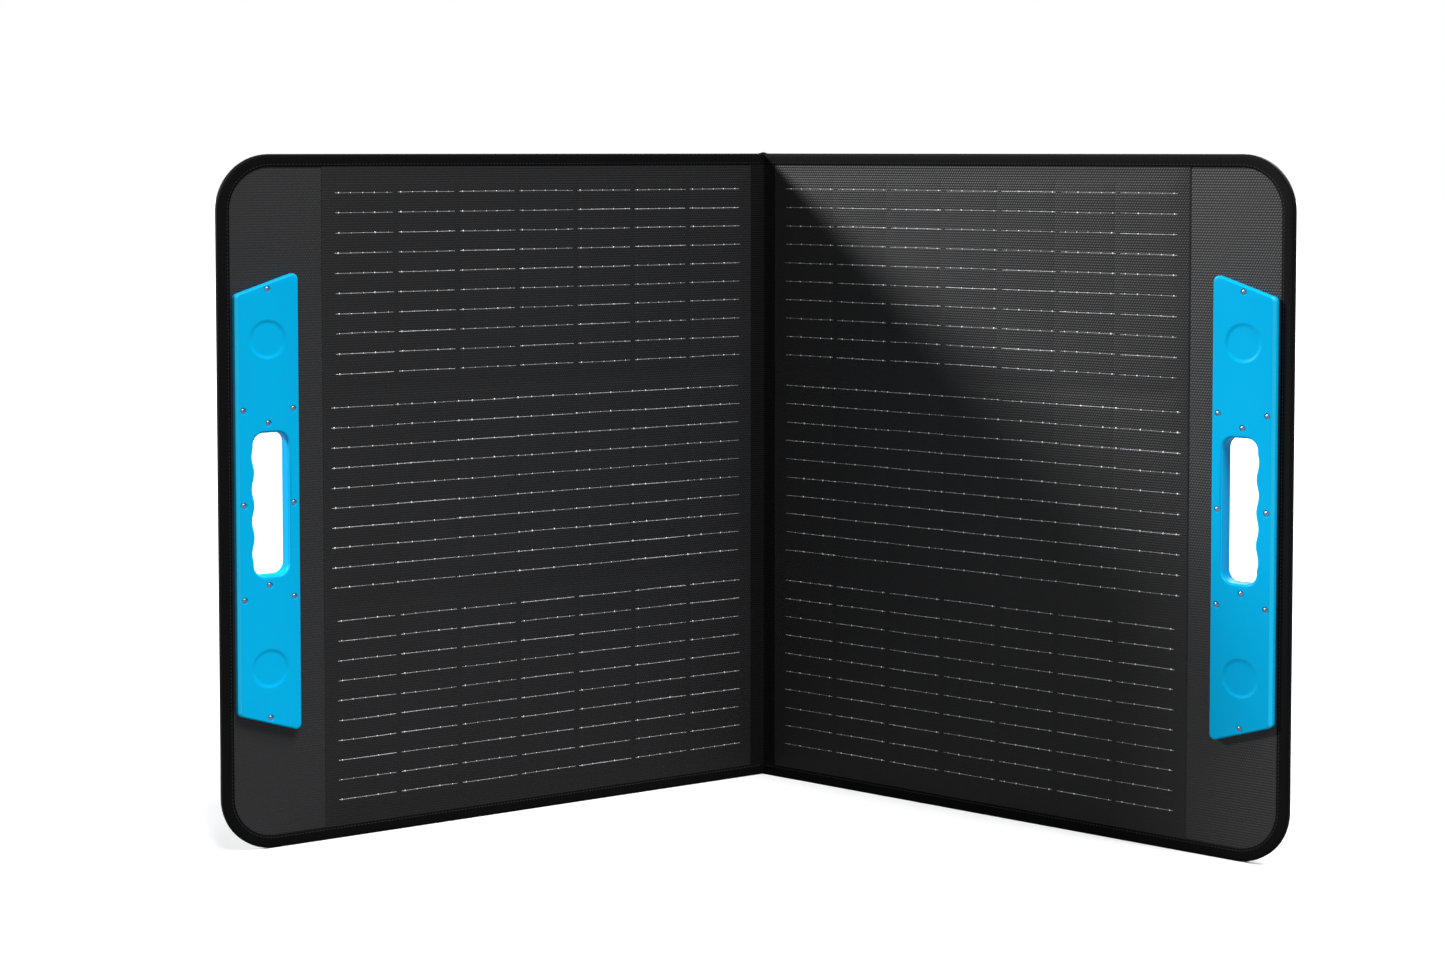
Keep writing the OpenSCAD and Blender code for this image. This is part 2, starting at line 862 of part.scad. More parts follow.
// Rubber cap over the port bay, hinged along the box's face
module dust_cap() {
    color(tape_black) {
        block(bay_x0 - cap_over, bay_x1 + cap_over, bay_y0 - cap_reach, box_face_y,
            box_z1, box_z1 + cap_t);
        block((bay_x0 + bay_x1 - cap_tab_w) / 2, (bay_x0 + bay_x1 + cap_tab_w) / 2,
            bay_y0 - 2 * cap_reach, bay_y0 - cap_reach, box_z1, box_z1 + cap_t);
    }
}

left() core_board();  // left_core_board
left() face_fabric();  // left_face_fabric
left() rear_cover();  // left_rear_cover
left() binding();  // left_binding
left() backsheet();  // left_backsheet
left() bus_strips();  // left_bus_strips
left() cells();  // left_cells
left() ribbons();  // left_ribbons
left() film();  // left_film
left() handle_front();  // left_handle_front
left() handle_rear();  // left_handle_rear
left() handle_screws();  // left_handle_screws
left() handle_magnets();  // left_handle_magnets
left() stand_board();  // left_stand_board
left() stand_cover();  // left_stand_cover
left() stand_hinge_tape();  // left_stand_hinge_tape
left() stand_straps();  // left_stand_straps
left() stand_hook_pad();  // left_stand_hook_pad
left() stand_loop_pad();  // left_stand_loop_pad
right() core_board();  // right_core_board
right() face_fabric();  // right_face_fabric
right() rear_cover();  // right_rear_cover
right() binding();  // right_binding
right() backsheet();  // right_backsheet
right() bus_strips();  // right_bus_strips
right() cells();  // right_cells
right() ribbons();  // right_ribbons
right() film();  // right_film
right() handle_front();  // right_handle_front
right() handle_rear();  // right_handle_rear
right() handle_screws();  // right_handle_screws
right() handle_magnets();  // right_handle_magnets
right() stand_board();  // right_stand_board
right() stand_cover();  // right_stand_cover
right() stand_hinge_tape();  // right_stand_hinge_tape
right() stand_straps();  // right_stand_straps
right() stand_hook_pad();  // right_stand_hook_pad
right() stand_loop_pad();  // right_stand_loop_pad
spine_web();
spine_cover();
spine_binding();
link_cables();
right() pocket_shell();
right() pocket_flap();
right() pocket_flap_tape();
right() pocket_hook_pad();
right() pocket_loop_pad();
right() regulator_base();
right() regulator_lid();
right() regulator_board();
right() regulator_screws();
right() usb_a_socket();
right() usb_c_socket();
right() status_light();
right() output_gland();
right() dust_cap();
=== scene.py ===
"""Looks of the two-leaf folding solar panel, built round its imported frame.

Most pieces are drawn in the leaf's own frame, in millimetres: x runs from the fold axis towards the
handle, y from the front face towards the back, and z is height. make() then puts them on the right
leaf, or mirrored on the left one.
"""

import json
import math
import random

import bmesh
import bpy
from mathutils import Matrix, Vector, geometry, noise


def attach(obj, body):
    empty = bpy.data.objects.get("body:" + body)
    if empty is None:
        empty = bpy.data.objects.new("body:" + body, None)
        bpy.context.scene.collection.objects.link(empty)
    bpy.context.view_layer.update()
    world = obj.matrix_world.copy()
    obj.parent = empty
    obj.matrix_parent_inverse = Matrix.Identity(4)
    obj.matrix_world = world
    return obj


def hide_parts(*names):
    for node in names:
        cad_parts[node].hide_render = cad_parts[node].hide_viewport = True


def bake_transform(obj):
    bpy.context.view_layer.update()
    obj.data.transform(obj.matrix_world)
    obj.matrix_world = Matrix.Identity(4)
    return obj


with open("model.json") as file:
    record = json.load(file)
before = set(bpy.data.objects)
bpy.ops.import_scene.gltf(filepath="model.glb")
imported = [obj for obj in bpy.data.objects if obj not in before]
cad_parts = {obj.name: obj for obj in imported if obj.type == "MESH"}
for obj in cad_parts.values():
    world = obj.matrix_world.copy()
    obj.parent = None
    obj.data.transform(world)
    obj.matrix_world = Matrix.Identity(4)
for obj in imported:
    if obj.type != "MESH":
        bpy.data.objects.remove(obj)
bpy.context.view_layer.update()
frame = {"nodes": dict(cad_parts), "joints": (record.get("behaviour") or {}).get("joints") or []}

# ---------------------------------------------------------------- frame and leaf measures

MM = 0.001
NODES = frame["nodes"]
JOINTS = {joint["name"]: joint for joint in frame["joints"]}
FOLD = Vector(JOINTS["leaf_fold"]["pos_m"])
STAND_AXIS = Vector(JOINTS["right_stand_hinge"]["axis"])
LEAN = math.atan2(-STAND_AXIS.y, STAND_AXIS.x)

FOLD_FRAME = (
    Matrix.Translation((0, FOLD.y, 0)) @ Matrix.Rotation(-LEAN, 4, "Z") @ Matrix.Scale(MM, 4)
)
BINDING_FROM_AXIS = [FOLD_FRAME.inverted() @ v.co for v in NODES["right_binding"].data.vertices]
FOLD_GAP = min(p.y for p in BINDING_FROM_AXIS)
TO_RIGHT = FOLD_FRAME @ Matrix.Translation((0, FOLD_GAP, 0))
FROM_RIGHT = TO_RIGHT.inverted()
TO_SIDE = {"right": TO_RIGHT, "left": Matrix.Scale(-1, 4, (1, 0, 0)) @ TO_RIGHT}
SIDES = ("left", "right")


def leaf_box(node):
    """Lowest and highest corners of a right leaf's node, in the leaf's frame."""
    points = [FROM_RIGHT @ v.co for v in NODES[node].data.vertices]
    return tuple(Vector([pick(p[i] for p in points) for i in range(3)]) for pick in (min, max))


BINDING_LO, BINDING_HI = leaf_box("right_binding")
FILM_LO, FILM_HI = leaf_box("right_film")
CELLS_LO, CELLS_HI = leaf_box("right_cells")
PLATE_LO, PLATE_HI = leaf_box("right_handle_front")
REAR_Y = leaf_box("right_handle_rear")[1].y
STAND_LO, STAND_HI = leaf_box("right_stand_cover")
STRAP_LO, STRAP_HI = leaf_box("right_stand_straps")
TAPE_LO, TAPE_HI = leaf_box("right_stand_hinge_tape")
POCKET_LO, POCKET_HI = leaf_box("pocket_shell")
FLAP_LO, FLAP_HI = leaf_box("pocket_flap")

LEAF_X0 = BINDING_LO.x
LEAF_X1 = BINDING_HI.x
LEAF_H = BINDING_HI.z
LEAF_T = BINDING_HI.y
MID_Z = LEAF_H / 2
BACK_Y = LEAF_T - 1
FACE_Y = 1.0
CORNER_R = 50
LIP_W = FILM_LO.z
SPINE_W = FILM_LO.x

CELL_H = 182
CELL_W = 60.67
CELL_PITCH = 62.2
CELL_COLUMNS = 7
BANDS = 3
STRING_PITCH = (CELLS_HI.z - CELLS_LO.z - CELL_H) / (BANDS - 1)
RIBBONS = 10

GRIP_X0 = 505.7
GRIP_X1 = GRIP_X0 + 32.4
GRIP_HALF = 63.75
GRIP_CORNER = 10
FINGER_PITCH = 29
FINGER_DEPTH = 1.1
PLATE_X0, PLATE_X1 = PLATE_LO.x, PLATE_HI.x
PLATE_SHORT_HALF = 187
PLATE_LONG_HALF = PLATE_SHORT_HALF + 19.5
PLATE_MID_X = (PLATE_X0 + PLATE_X1) / 2 - 0.25
CLOTH_INSET = 2.0
HOLE_GROW = 2.4
DISH_Z = 147
DISH_R = 18.2
SCREW_PLACES = (
    [(PLATE_MID_X, MID_Z + s * 191.5) for s in (-1, 1)]
    + [(PLATE_MID_X, MID_Z + s * 72.5) for s in (-1, 1)]
    + [(PLATE_MID_X + s * 23.5, MID_Z + t * 84.3) for s in (-1, 1) for t in (-1, 0, 1)]
)


# ---------------------------------------------------------------- mesh building


def arc(x, z, r, start, steps=14):
    """Points of a quarter turn in the plane of the leaf."""
    turns = [math.radians(start + 90 * i / steps) for i in range(steps + 1)]
    return [(x + r * math.cos(t), z + r * math.sin(t)) for t in turns]


def straight(a, b, step):
    """Points from a to b about a step apart, without b."""
    count = max(1, round(math.dist(a, b) / step))
    return [tuple(a[i] + (b[i] - a[i]) * k / count for i in range(len(a))) for k in range(count)]


def leaf_outline(inset, step=12):
    """From the fold along the bottom, round the outer side and back along the top."""
    x0, x1, r = LEAF_X0, LEAF_X1 - CORNER_R, CORNER_R - inset
    return (
        straight((x0, inset), (x1, inset), step)
        + arc(x1, CORNER_R, r, -90)
        + straight((LEAF_X1 - inset, CORNER_R), (LEAF_X1 - inset, LEAF_H - CORNER_R), step)[1:]
        + arc(x1, LEAF_H - CORNER_R, r, 0)
        + straight((x1, LEAF_H - inset), (x0, LEAF_H - inset), step)[1:]
        + [(x0, LEAF_H - inset)]
    )


def corner_round(a, b, c, r, steps=6):
    """Points of the arc that rounds corner b."""
    a, b, c = Vector(a), Vector(b), Vector(c)
    to_a, to_c = (a - b).normalized(), (c - b).normalized()
    half = to_a.angle(to_c) / 2
    centre = b + (to_a + to_c).normalized() * r / math.sin(half)
    start = b + to_a * r / math.tan(half) - centre
    turn = -math.copysign(math.pi - 2 * half, to_a.x * to_c.y - to_a.y * to_c.x)
    points = []
    for i in range(steps + 1):
        t = turn * i / steps
        cos, sin = math.cos(t), math.sin(t)
        points.append(
            (centre.x + start.x * cos - start.y * sin, centre.y + start.x * sin + start.y * cos)
        )
    return points


def rounded(corners, r, steps=6):
    count = len(corners)
    points = []
    for i in range(count):
        points += corner_round(corners[i - 1], corners[i], corners[(i + 1) % count], r, steps)
    return points


def rounded_box(x0, x1, z0, z1, r, steps=6):
    return rounded([(x0, z0), (x1, z0), (x1, z1), (x0, z1)], r, steps)


def plate_outline(inset, outer_inset, r):
    """Handle plate outline, with its slanted ends."""
    slope = (PLATE_LONG_HALF - PLATE_SHORT_HALF) / (PLATE_X1 - PLATE_X0)

    def half(x):
        return PLATE_LONG_HALF - slope * (x - PLATE_X0) - inset * math.hypot(1, slope)

    x0, x1 = PLATE_X0 + inset, PLATE_X1 - outer_inset
    corners = [
        (x0, MID_Z - half(x0)), (x1, MID_Z - half(x1)), (x1, MID_Z + half(x1)),
        (x0, MID_Z + half(x0)),
    ]
    return rounded(corners, r, 8)


def grip_outline(grow):
    """Grip hole outline, with four finger scallops on its outer side."""
    r = GRIP_CORNER
    reach = 1.75 * FINGER_PITCH
    x0, x1 = GRIP_X0 + r, GRIP_X1 - r
    low, high = MID_Z - GRIP_HALF + r, MID_Z + GRIP_HALF - r
    scallops = []
    for i in range(81):
        z = reach * (i / 40 - 1)
        x = GRIP_X1 + grow - FINGER_DEPTH * math.cos(math.tau * z / FINGER_PITCH)
        scallops.append((x, MID_Z + z))
    return (
        arc(x0, low, r + grow, 180)
        + arc(x1, low, r + grow, 270)
        + scallops
        + arc(x1, high, r + grow, 0)
        + arc(x0, high, r + grow, 90)
    )


def circle(x, z, r, steps=40):
    turns = [math.tau * i / steps for i in range(steps)]
    return [(x + r * math.cos(t), z + r * math.sin(t)) for t in turns]


def at_depth(outline, y):
    """Ring of 3-D points from an outline in the plane of the leaf."""
    return [Vector((x, y, z)) for x, z in outline]


class Piece:
    """Collects faces and their cloth coordinates in the leaf's frame, in millimetres."""

    def __init__(self):
        self.points = []
        self.faces = []
        self.uvs = []

    def loft(self, rings, closed=True):
        """Joins rings of equally many points. Cloth coordinates run along and across them."""
        count = len(rings[0])
        middle = rings[len(rings) // 2]
        along = [0.0]
        for k in range(count):
            along.append(along[-1] + (middle[(k + 1) % count] - middle[k]).length)
        across = [0.0]
        for a, b in zip(rings, rings[1:]):
            across.append(across[-1] + sum((p - q).length for p, q in zip(a, b)) / count)
        start = len(self.points)
        self.points += [p for ring in rings for p in ring]
        for i in range(len(rings) - 1):
            for k in range(count if closed else count - 1):
                a, b = start + i * count + k, start + i * count + (k + 1) % count
                self.faces.append((a, b, b + count, a + count))
                low, high = across[i], across[i + 1]
                near, far = along[k], along[k + 1]
                self.uvs.append([(near, low), (far, low), (far, high), (near, high)])
        return self

    def fill(self, rings):
        """Fills the first ring, around the others as holes."""
        start = len(self.points)
        points = [p for ring in rings for p in ring]
        self.points += points
        for triangle in geometry.tessellate_polygon(rings):
            self.faces.append(tuple(start + i for i in triangle))
            self.uvs.append([(points[i].x, points[i].z) for i in triangle])
        return self

    def tube(self, rings):
        """Joins rings, and fills the first and the last."""
        return self.loft(rings).fill([rings[0]]).fill([rings[-1]])

    def sweep(self, rails):
        """Joins rails round a section that ends where it starts, and fills both ends."""
        self.loft(rails, closed=False)
        for end in (0, -1):
            self.fill([[rail[end] for rail in rails[:-1]]])
        return self

    def shell(self, front, back):
        """Closes two sheets of rings along their four edges."""
        self.loft(front, closed=False).loft(back, closed=False)
        for k in (0, -1):
            self.loft([front[k], back[k]], closed=False)
            self.loft([[ring[k] for ring in sheet] for sheet in (front, back)], closed=False)
        return self

    def cloth(self, outlines, height, spacing):
        """Fills the first outline, around the others, with a net of points at depth height(x, z)."""
        coords, loops = [], []
        for outline in outlines:
            loops.append(list(range(len(coords), len(coords) + len(outline))))
            coords += [Vector(p) for p in outline]
        x0, x1 = (pick(p.x for p in coords) for pick in (min, max))
        z0, z1 = (pick(p.y for p in coords) for pick in (min, max))
        columns = max(1, round((x1 - x0) / spacing))
        rows = max(1, round((z1 - z0) / spacing))
        for i in range(columns):
            x = x0 + (i + 0.5) * (x1 - x0) / columns
            coords += [Vector((x, z0 + (k + 0.5) * (z1 - z0) / rows)) for k in range(rows)]
        inside_with_holes = 2
        flat, _, triangles, *_ = geometry.delaunay_2d_cdt(coords, [], loops, inside_with_holes, 1e-4)
        start = len(self.points)
        self.points += [Vector((p.x, height(p.x, p.y), p.y)) for p in flat]
        for triangle in triangles:
            self.faces.append(tuple(start + i for i in triangle))
            self.uvs.append([tuple(flat[i]) for i in triangle])
        return self

    def object(self, name, side="right", smooth=40):
        """The welded mesh on its leaf, in metres, with its cloth coordinates in metres."""
        mesh = bpy.data.meshes.new(name)
        mesh.from_pydata(self.points, [], self.faces)
        layer = mesh.uv_layers.new(name="cloth")
        corner = 0
        for uv in self.uvs:
            for u, v in uv:
                layer.data[corner].uv = (u * MM, v * MM)
                corner += 1
        mesh.transform(TO_SIDE[side])
        work = bmesh.new()
        work.from_mesh(mesh)
        bmesh.ops.remove_doubles(work, verts=work.verts, dist=1e-6)
        bmesh.ops.dissolve_degenerate(work, edges=work.edges, dist=1e-7)
        bmesh.ops.recalc_face_normals(work, faces=work.faces)
        work.to_mesh(mesh)
        work.free()
        mesh.shade_smooth()
        mesh.set_sharp_from_angle(angle=math.radians(smooth))
        obj = bpy.data.objects.new(name, mesh)
        bpy.context.scene.collection.objects.link(obj)
        return obj


def make(piece, name, side, smooth, slot, body=None, replaced=(), look=None):
    """The piece as an object, with the look named for it or else its slot's look, on its body if one is
    given, and with the nodes it stands for hidden.
    """
    obj = piece.object(name, side, smooth)
    obj.data.materials.append(LOOKS[look or slot])
    if body:
        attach(obj, body)
    if replaced:
        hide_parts(*replaced)
    return obj


def even_normals(obj):
    """Keeps large flat faces flat beside small rounded ones."""
    modifier = obj.modifiers.new("even_normals", "WEIGHTED_NORMAL")
    modifier.keep_sharp = True
    modifier.weight = 100
    return obj


STITCH_LENGTH = 2.6
STITCH_PITCH = 3.4
STITCH_R = 0.24
STITCH_RINGS = ((0, 0.3, -0.6), (0.2, 0.9, 0.3), (0.5, 1, 0.6), (0.8, 0.9, 0.3), (1, 0.3, -0.6))


def stitches(piece, path, facing):
    """A row of sewn stitches along a path, standing a little proud of the cloth that faces y or -y.
    Each ring of a stitch has its share of the length, its swell and its lift."""
    outward = Vector((0, facing, 0))
    lengths = [0.0]
    for a, b in zip(path, path[1:]):
        lengths.append(lengths[-1] + (b - a).length)

    def point_at(distance):
        k = next((i for i, d in enumerate(lengths[1:]) if d >= distance), len(path) - 2)
        share = (distance - lengths[k]) / max(lengths[k + 1] - lengths[k], 1e-9)
        return path[k].lerp(path[k + 1], share)

    turns = [math.tau * k / 6 for k in range(6)]
    for i in range(int(lengths[-1] // STITCH_PITCH)):
        middle = (i + 0.5) * STITCH_PITCH
        a, b = point_at(middle - STITCH_LENGTH / 2), point_at(middle + STITCH_LENGTH / 2)
        side = (b - a).normalized().cross(outward).normalized()
        rings = []
        for share, swell, lift in STITCH_RINGS:
            centre = a.lerp(b, share) + outward * STITCH_R * lift
            r = STITCH_R * swell
            rings.append([centre + r * (side * math.cos(t) + outward * math.sin(t)) for t in turns])
        piece.tube(rings)


def seam(name, side, slot, body, rows):
    """Rows of stitches, each with its path and the way it faces."""
    piece = Piece()
    for path, facing in rows:
        stitches(piece, path, facing)
    make(piece, name, side, 40, slot, body, look="thread")


def wobble(x, z, seed, size):
    """Gentle unevenness from -1 to 1 with features of the given size."""
    return noise.noise(Vector((x / size, z / size, seed)))


# ---------------------------------------------------------------- materials


class Look:
    """A node material under construction."""

    def __init__(self, name, coat=0.0, metal=0.0, specular=0.5):
        self.material = bpy.data.materials.new(name)
        self.material.use_nodes = True
        self.nodes = self.material.node_tree.nodes
        self.links = self.material.node_tree.links
        self.shader = self.nodes["Principled BSDF"]
        self.shader.inputs["Metallic"].default_value = metal
        self.shader.inputs["Specular IOR Level"].default_value = specular
        self.shader.inputs["Coat Weight"].default_value = coat
        self.height = None

    def put(self, socket, value):
        """Links another node's output to a socket, or sets the socket's own value."""
        if isinstance(value, bpy.types.NodeSocket):
            self.links.new(value, socket)
        else:
            socket.default_value = value

    def add(self, kind, **inputs):
        node = self.nodes.new(kind)
        for name, value in inputs.items():
            self.put(node.inputs[name.replace("_", " ")], value)
        return node

    def place(self):
        """Coordinates in the row frame, in metres."""
        return self.add("ShaderNodeTexCoord").outputs["Object"]

    def cloth(self):
        """Coordinates along the cloth, in metres."""
        node = self.nodes.new("ShaderNodeUVMap")
        node.uv_map = "cloth"
        return node.outputs["UV"]

    def math(self, operation, a, b=0.0):
        node = self.nodes.new("ShaderNodeMath")
        node.operation = operation
        for socket, value in zip(node.inputs, (a, b)):
            self.put(socket, value)
        return node.outputs["Value"]

    def waves(self, source, axis, pitch, phase=0.0):
        """A sine from -1 to 1 along one axis of the coordinates, with the given pitch in metres."""
        split = self.add("ShaderNodeSeparateXYZ", Vector=source)
        scaled = self.math("MULTIPLY", split.outputs[axis], math.tau / pitch)
        return self.math("SINE", self.math("ADD", scaled, phase))

    def noise(self, source, scale, detail=3.0, roughness=0.55):
        node = self.add(
            "ShaderNodeTexNoise", Vector=source, Scale=scale, Detail=detail, Roughness=roughness
        )
        return node.outputs["Fac"]

    def stretch(self, source, scale):
        node = self.add("ShaderNodeMapping", Vector=source, Scale=scale)
        return node.outputs["Vector"]

    def band(self, value, low, high, to_low=0.0, to_high=1.0):
        node = self.add("ShaderNodeMapRange", Value=value)
        limits = {"From Min": low, "From Max": high, "To Min": to_low, "To Max": to_high}
        for name, number in limits.items():
            node.inputs[name].default_value = number
        return node.outputs["Result"]

    def blend(self, share, dark, light):
        """Colour between dark and light, each an (r, g, b) or a colour from another blend."""
        node = self.nodes.new("ShaderNodeMix")
        node.data_type = "RGBA"
        self.put(node.inputs["Factor"], share)
        for socket, colour in ((node.inputs[6], dark), (node.inputs[7], light)):
            self.put(socket, (*colour, 1) if isinstance(colour, tuple) else colour)
        return node.outputs[2]

    def colour(self, value):
        self.links.new(value, self.shader.inputs["Base Color"])

    def rough(self, value):
        self.put(self.shader.inputs["Roughness"], value)

    def bump(self, height, distance, strength=1.0):
        """Adds a layer of relief, with its depth in metres."""
        node = self.add("ShaderNodeBump", Height=height, Strength=strength, Distance=distance)
        if self.height:
            self.links.new(self.height, node.inputs["Normal"])
        self.height = node.outputs["Normal"]
        self.links.new(self.height, self.shader.inputs["Normal"])


def dots(look, source, pitch, row):
    """Staggered dots of a weave or embossing, from 0 to 1, with rows a given distance apart."""
    u = look.waves(source, "X", pitch)
    v = look.waves(source, "Y", 2 * row)
    stagger = look.math("MULTIPLY", look.math("MULTIPLY", u, v), 0.55)
    rows = look.math("MULTIPLY", look.waves(source, "Y", row, -math.pi / 2), 0.45)
    return look.band(look.math("ADD", stagger, rows), -0.9, 0.9)


def woven_look(name, ground, thread, specular):
    """Fine staggered weave, darker between its threads. The weave's relief is real, and the lighter,
    unevenly bright colour of its dots is a painted glint.
    """
    look = Look(name, specular=specular)
    cloth = look.cloth()
    weave = dots(look, cloth, 0.0025, 0.00235)
    # Painted glint: this noise unevenly scales the dots' lighter thread colour, standing in for light
    # glinting off the weave.
    painted_glints = look.band(look.noise(cloth, 420, 2), 0.3, 0.72, 0.35, 1.0)
    patches = look.band(look.noise(cloth, 7, 3), 0.3, 0.7)
    light = look.blend(patches, thread, tuple(1.25 * c for c in thread))
    share = look.math("MULTIPLY", weave, painted_glints)
    look.colour(look.blend(share, ground, light))
    look.rough(look.band(weave, 0, 1, 0.56, 0.42))
    look.bump(weave, 0.0003, 0.75)
    look.bump(look.noise(cloth, 14, 3), 0.0006, 0.25)
    return look.material


def rear_cloth_look():
    """Black oxford weave: pairs of threads over and under."""
    look = Look("rear_cloth", specular=0.35)
    cloth = look.cloth()
    weave = dots(look, cloth, 0.0016, 0.0013)
    threads = look.math("ADD", look.waves(cloth, "X", 0.0006), look.waves(cloth, "Y", 0.0006))
    fade = look.band(look.noise(cloth, 7, 4), 0.3, 0.7)
    ground = look.blend(fade, (0.011, 0.011, 0.012), (0.019, 0.019, 0.021))
    look.colour(look.blend(weave, ground, (0.038, 0.038, 0.041)))
    look.rough(look.band(fade, 0, 1, 0.7, 0.82))
    look.bump(weave, 0.00025, 0.7)
    look.bump(threads, 0.00004, 0.5)
    look.bump(look.noise(cloth, 20, 3), 0.0012, 0.3)
    return look.material


def ribbed_look(name, pitch, axis, base, light, rough, depth, specular=0.15):
    """Black tape or cloth with ribs across it."""
    look = Look(name, specular=specular)
    cloth = look.cloth()
    ribs = look.band(look.waves(cloth, axis, pitch), -1, 1)
    grain = look.noise(cloth, 1500, 2)
    wear = look.band(look.noise(cloth, 25, 3), 0.35, 0.7)
    ground = look.blend(wear, base, tuple(1.5 * c for c in base))
    look.colour(look.blend(look.math("MULTIPLY", ribs, grain), ground, light))
    look.rough(rough)
    look.bump(ribs, depth, 0.6)
    look.bump(grain, 0.00005, 0.5)
    return look.material


def hook_loop_look():
    """Fuzzy black pile."""
    look = Look("hook_loop", specular=0.2)
    place = look.place()
    pile = look.noise(place, 1400, 3, 0.7)
    tufts = look.noise(place, 320, 2)
    look.colour(look.blend(pile, (0.006, 0.006, 0.007), (0.045, 0.045, 0.048)))
    look.rough(0.95)
    look.bump(pile, 0.0004, 0.9)
    look.bump(tufts, 0.0005, 0.6)
    return look.material


def thread_look():
    look = Look("thread", specular=0.4)
    place = look.place()
    twist = look.noise(place, 2500, 1)
    look.colour(look.blend(twist, (0.008, 0.008, 0.009), (0.035, 0.035, 0.038)))
    look.rough(0.6)
    look.bump(twist, 0.00008, 0.6)
    return look.material


def handle_look(name, dark, light):
    """Bright blue moulded plastic with a fine satin grain."""
    look = Look(name, specular=0.07)
    place = look.place()
    grain = look.noise(place, 2600, 2)
    flow = look.band(look.noise(look.stretch(place, (1, 1, 0.25)), 9, 3), 0.3, 0.7)
    look.colour(look.blend(flow, dark, light))
    look.rough(look.band(look.noise(place, 40, 4), 0.3, 0.7, 0.3, 0.4))
    look.bump(grain, 0.00003, 0.35)
    return look.material


def tin_look(name, dark, light, metal):
    """Tinned ribbon or solder, brighter in some stretches than in others."""
    look = Look(name, metal=metal, specular=0.5)
    place = look.place()
    runs = look.band(look.noise(place, 45, 2), 0.34, 0.68)
    specks = look.band(look.noise(place, 260, 2), 0.35, 0.7)
    share = look.math("MULTIPLY", runs, look.band(specks, 0, 1, 0.8, 1.0))
    look.colour(look.blend(share, dark, light))
    look.rough(look.band(specks, 0, 1, 0.52, 0.42))
    look.bump(specks, 0.00003, 0.2)
    return look.material


def metal_look(name, dark, light, rough, brush=(1, 1, 1)):
    look = Look(name, metal=1.0)
    place = look.place()
    lines = look.noise(look.stretch(place, brush), 900, 3)
    stain = look.band(look.noise(place, 60, 3), 0.35, 0.7)
    look.colour(look.blend(look.math("MULTIPLY", lines, stain), light, dark))
    look.rough(look.band(lines, 0.3, 0.7, rough, rough + 0.14))
    look.bump(lines, 0.00002, 0.4)
    return look.material


def plastic_look(name, base, light, rough, grain_scale, depth, specular=0.4):
    """Moulded plastic, rubber or board with a grained face."""
    look = Look(name, specular=specular)
    place = look.place()
    grain = look.noise(place, grain_scale, 3)
    cloud = look.band(look.noise(place, 18, 3), 0.3, 0.7)
    look.colour(look.blend(look.math("MULTIPLY", cloud, grain), base, light))
    look.rough(look.band(cloud, 0, 1, rough, rough + 0.1))
    look.bump(grain, depth, 0.5)
    return look.material


def cell_look():
    """Dark silicon with its fine printed fingers."""
    look = Look("cell", coat=0.3, specular=0.5)
    place = look.place()
    fingers = look.band(look.waves(place, "X", 0.0013), 0.9, 1.0)
    grain = look.noise(place, 160, 3)
    ground = look.blend(grain, (0.006, 0.007, 0.014), (0.014, 0.016, 0.03))
    look.colour(look.blend(fingers, ground, (0.2, 0.2, 0.22)))
    look.rough(0.28)
    look.bump(grain, 0.00003, 0.3)
    return look.material


def lens_look():
    look = Look("light_lens", coat=0.6, specular=0.6)
    place = look.place()
    depth = look.noise(place, 900, 2)
    look.colour(look.blend(depth, (0.25, 0.62, 0.34), (0.55, 0.9, 0.62)))
    look.rough(look.band(depth, 0, 1, 0.12, 0.2))
    look.bump(depth, 0.00002, 0.3)
    return look.material


def floor_look():
    """Pale matt floor, which sends little light back up."""
    look = Look("floor", specular=0.0)
    tone = look.noise(look.place(), 2, 2)
    pale = look.blend(tone, (0.92, 0.92, 0.92), (0.94, 0.94, 0.94))
    seen = look.nodes.new("ShaderNodeLightPath").outputs["Is Camera Ray"]
    look.colour(look.blend(seen, (0.2, 0.2, 0.2), pale))
    look.rough(0.9)
    return look.material


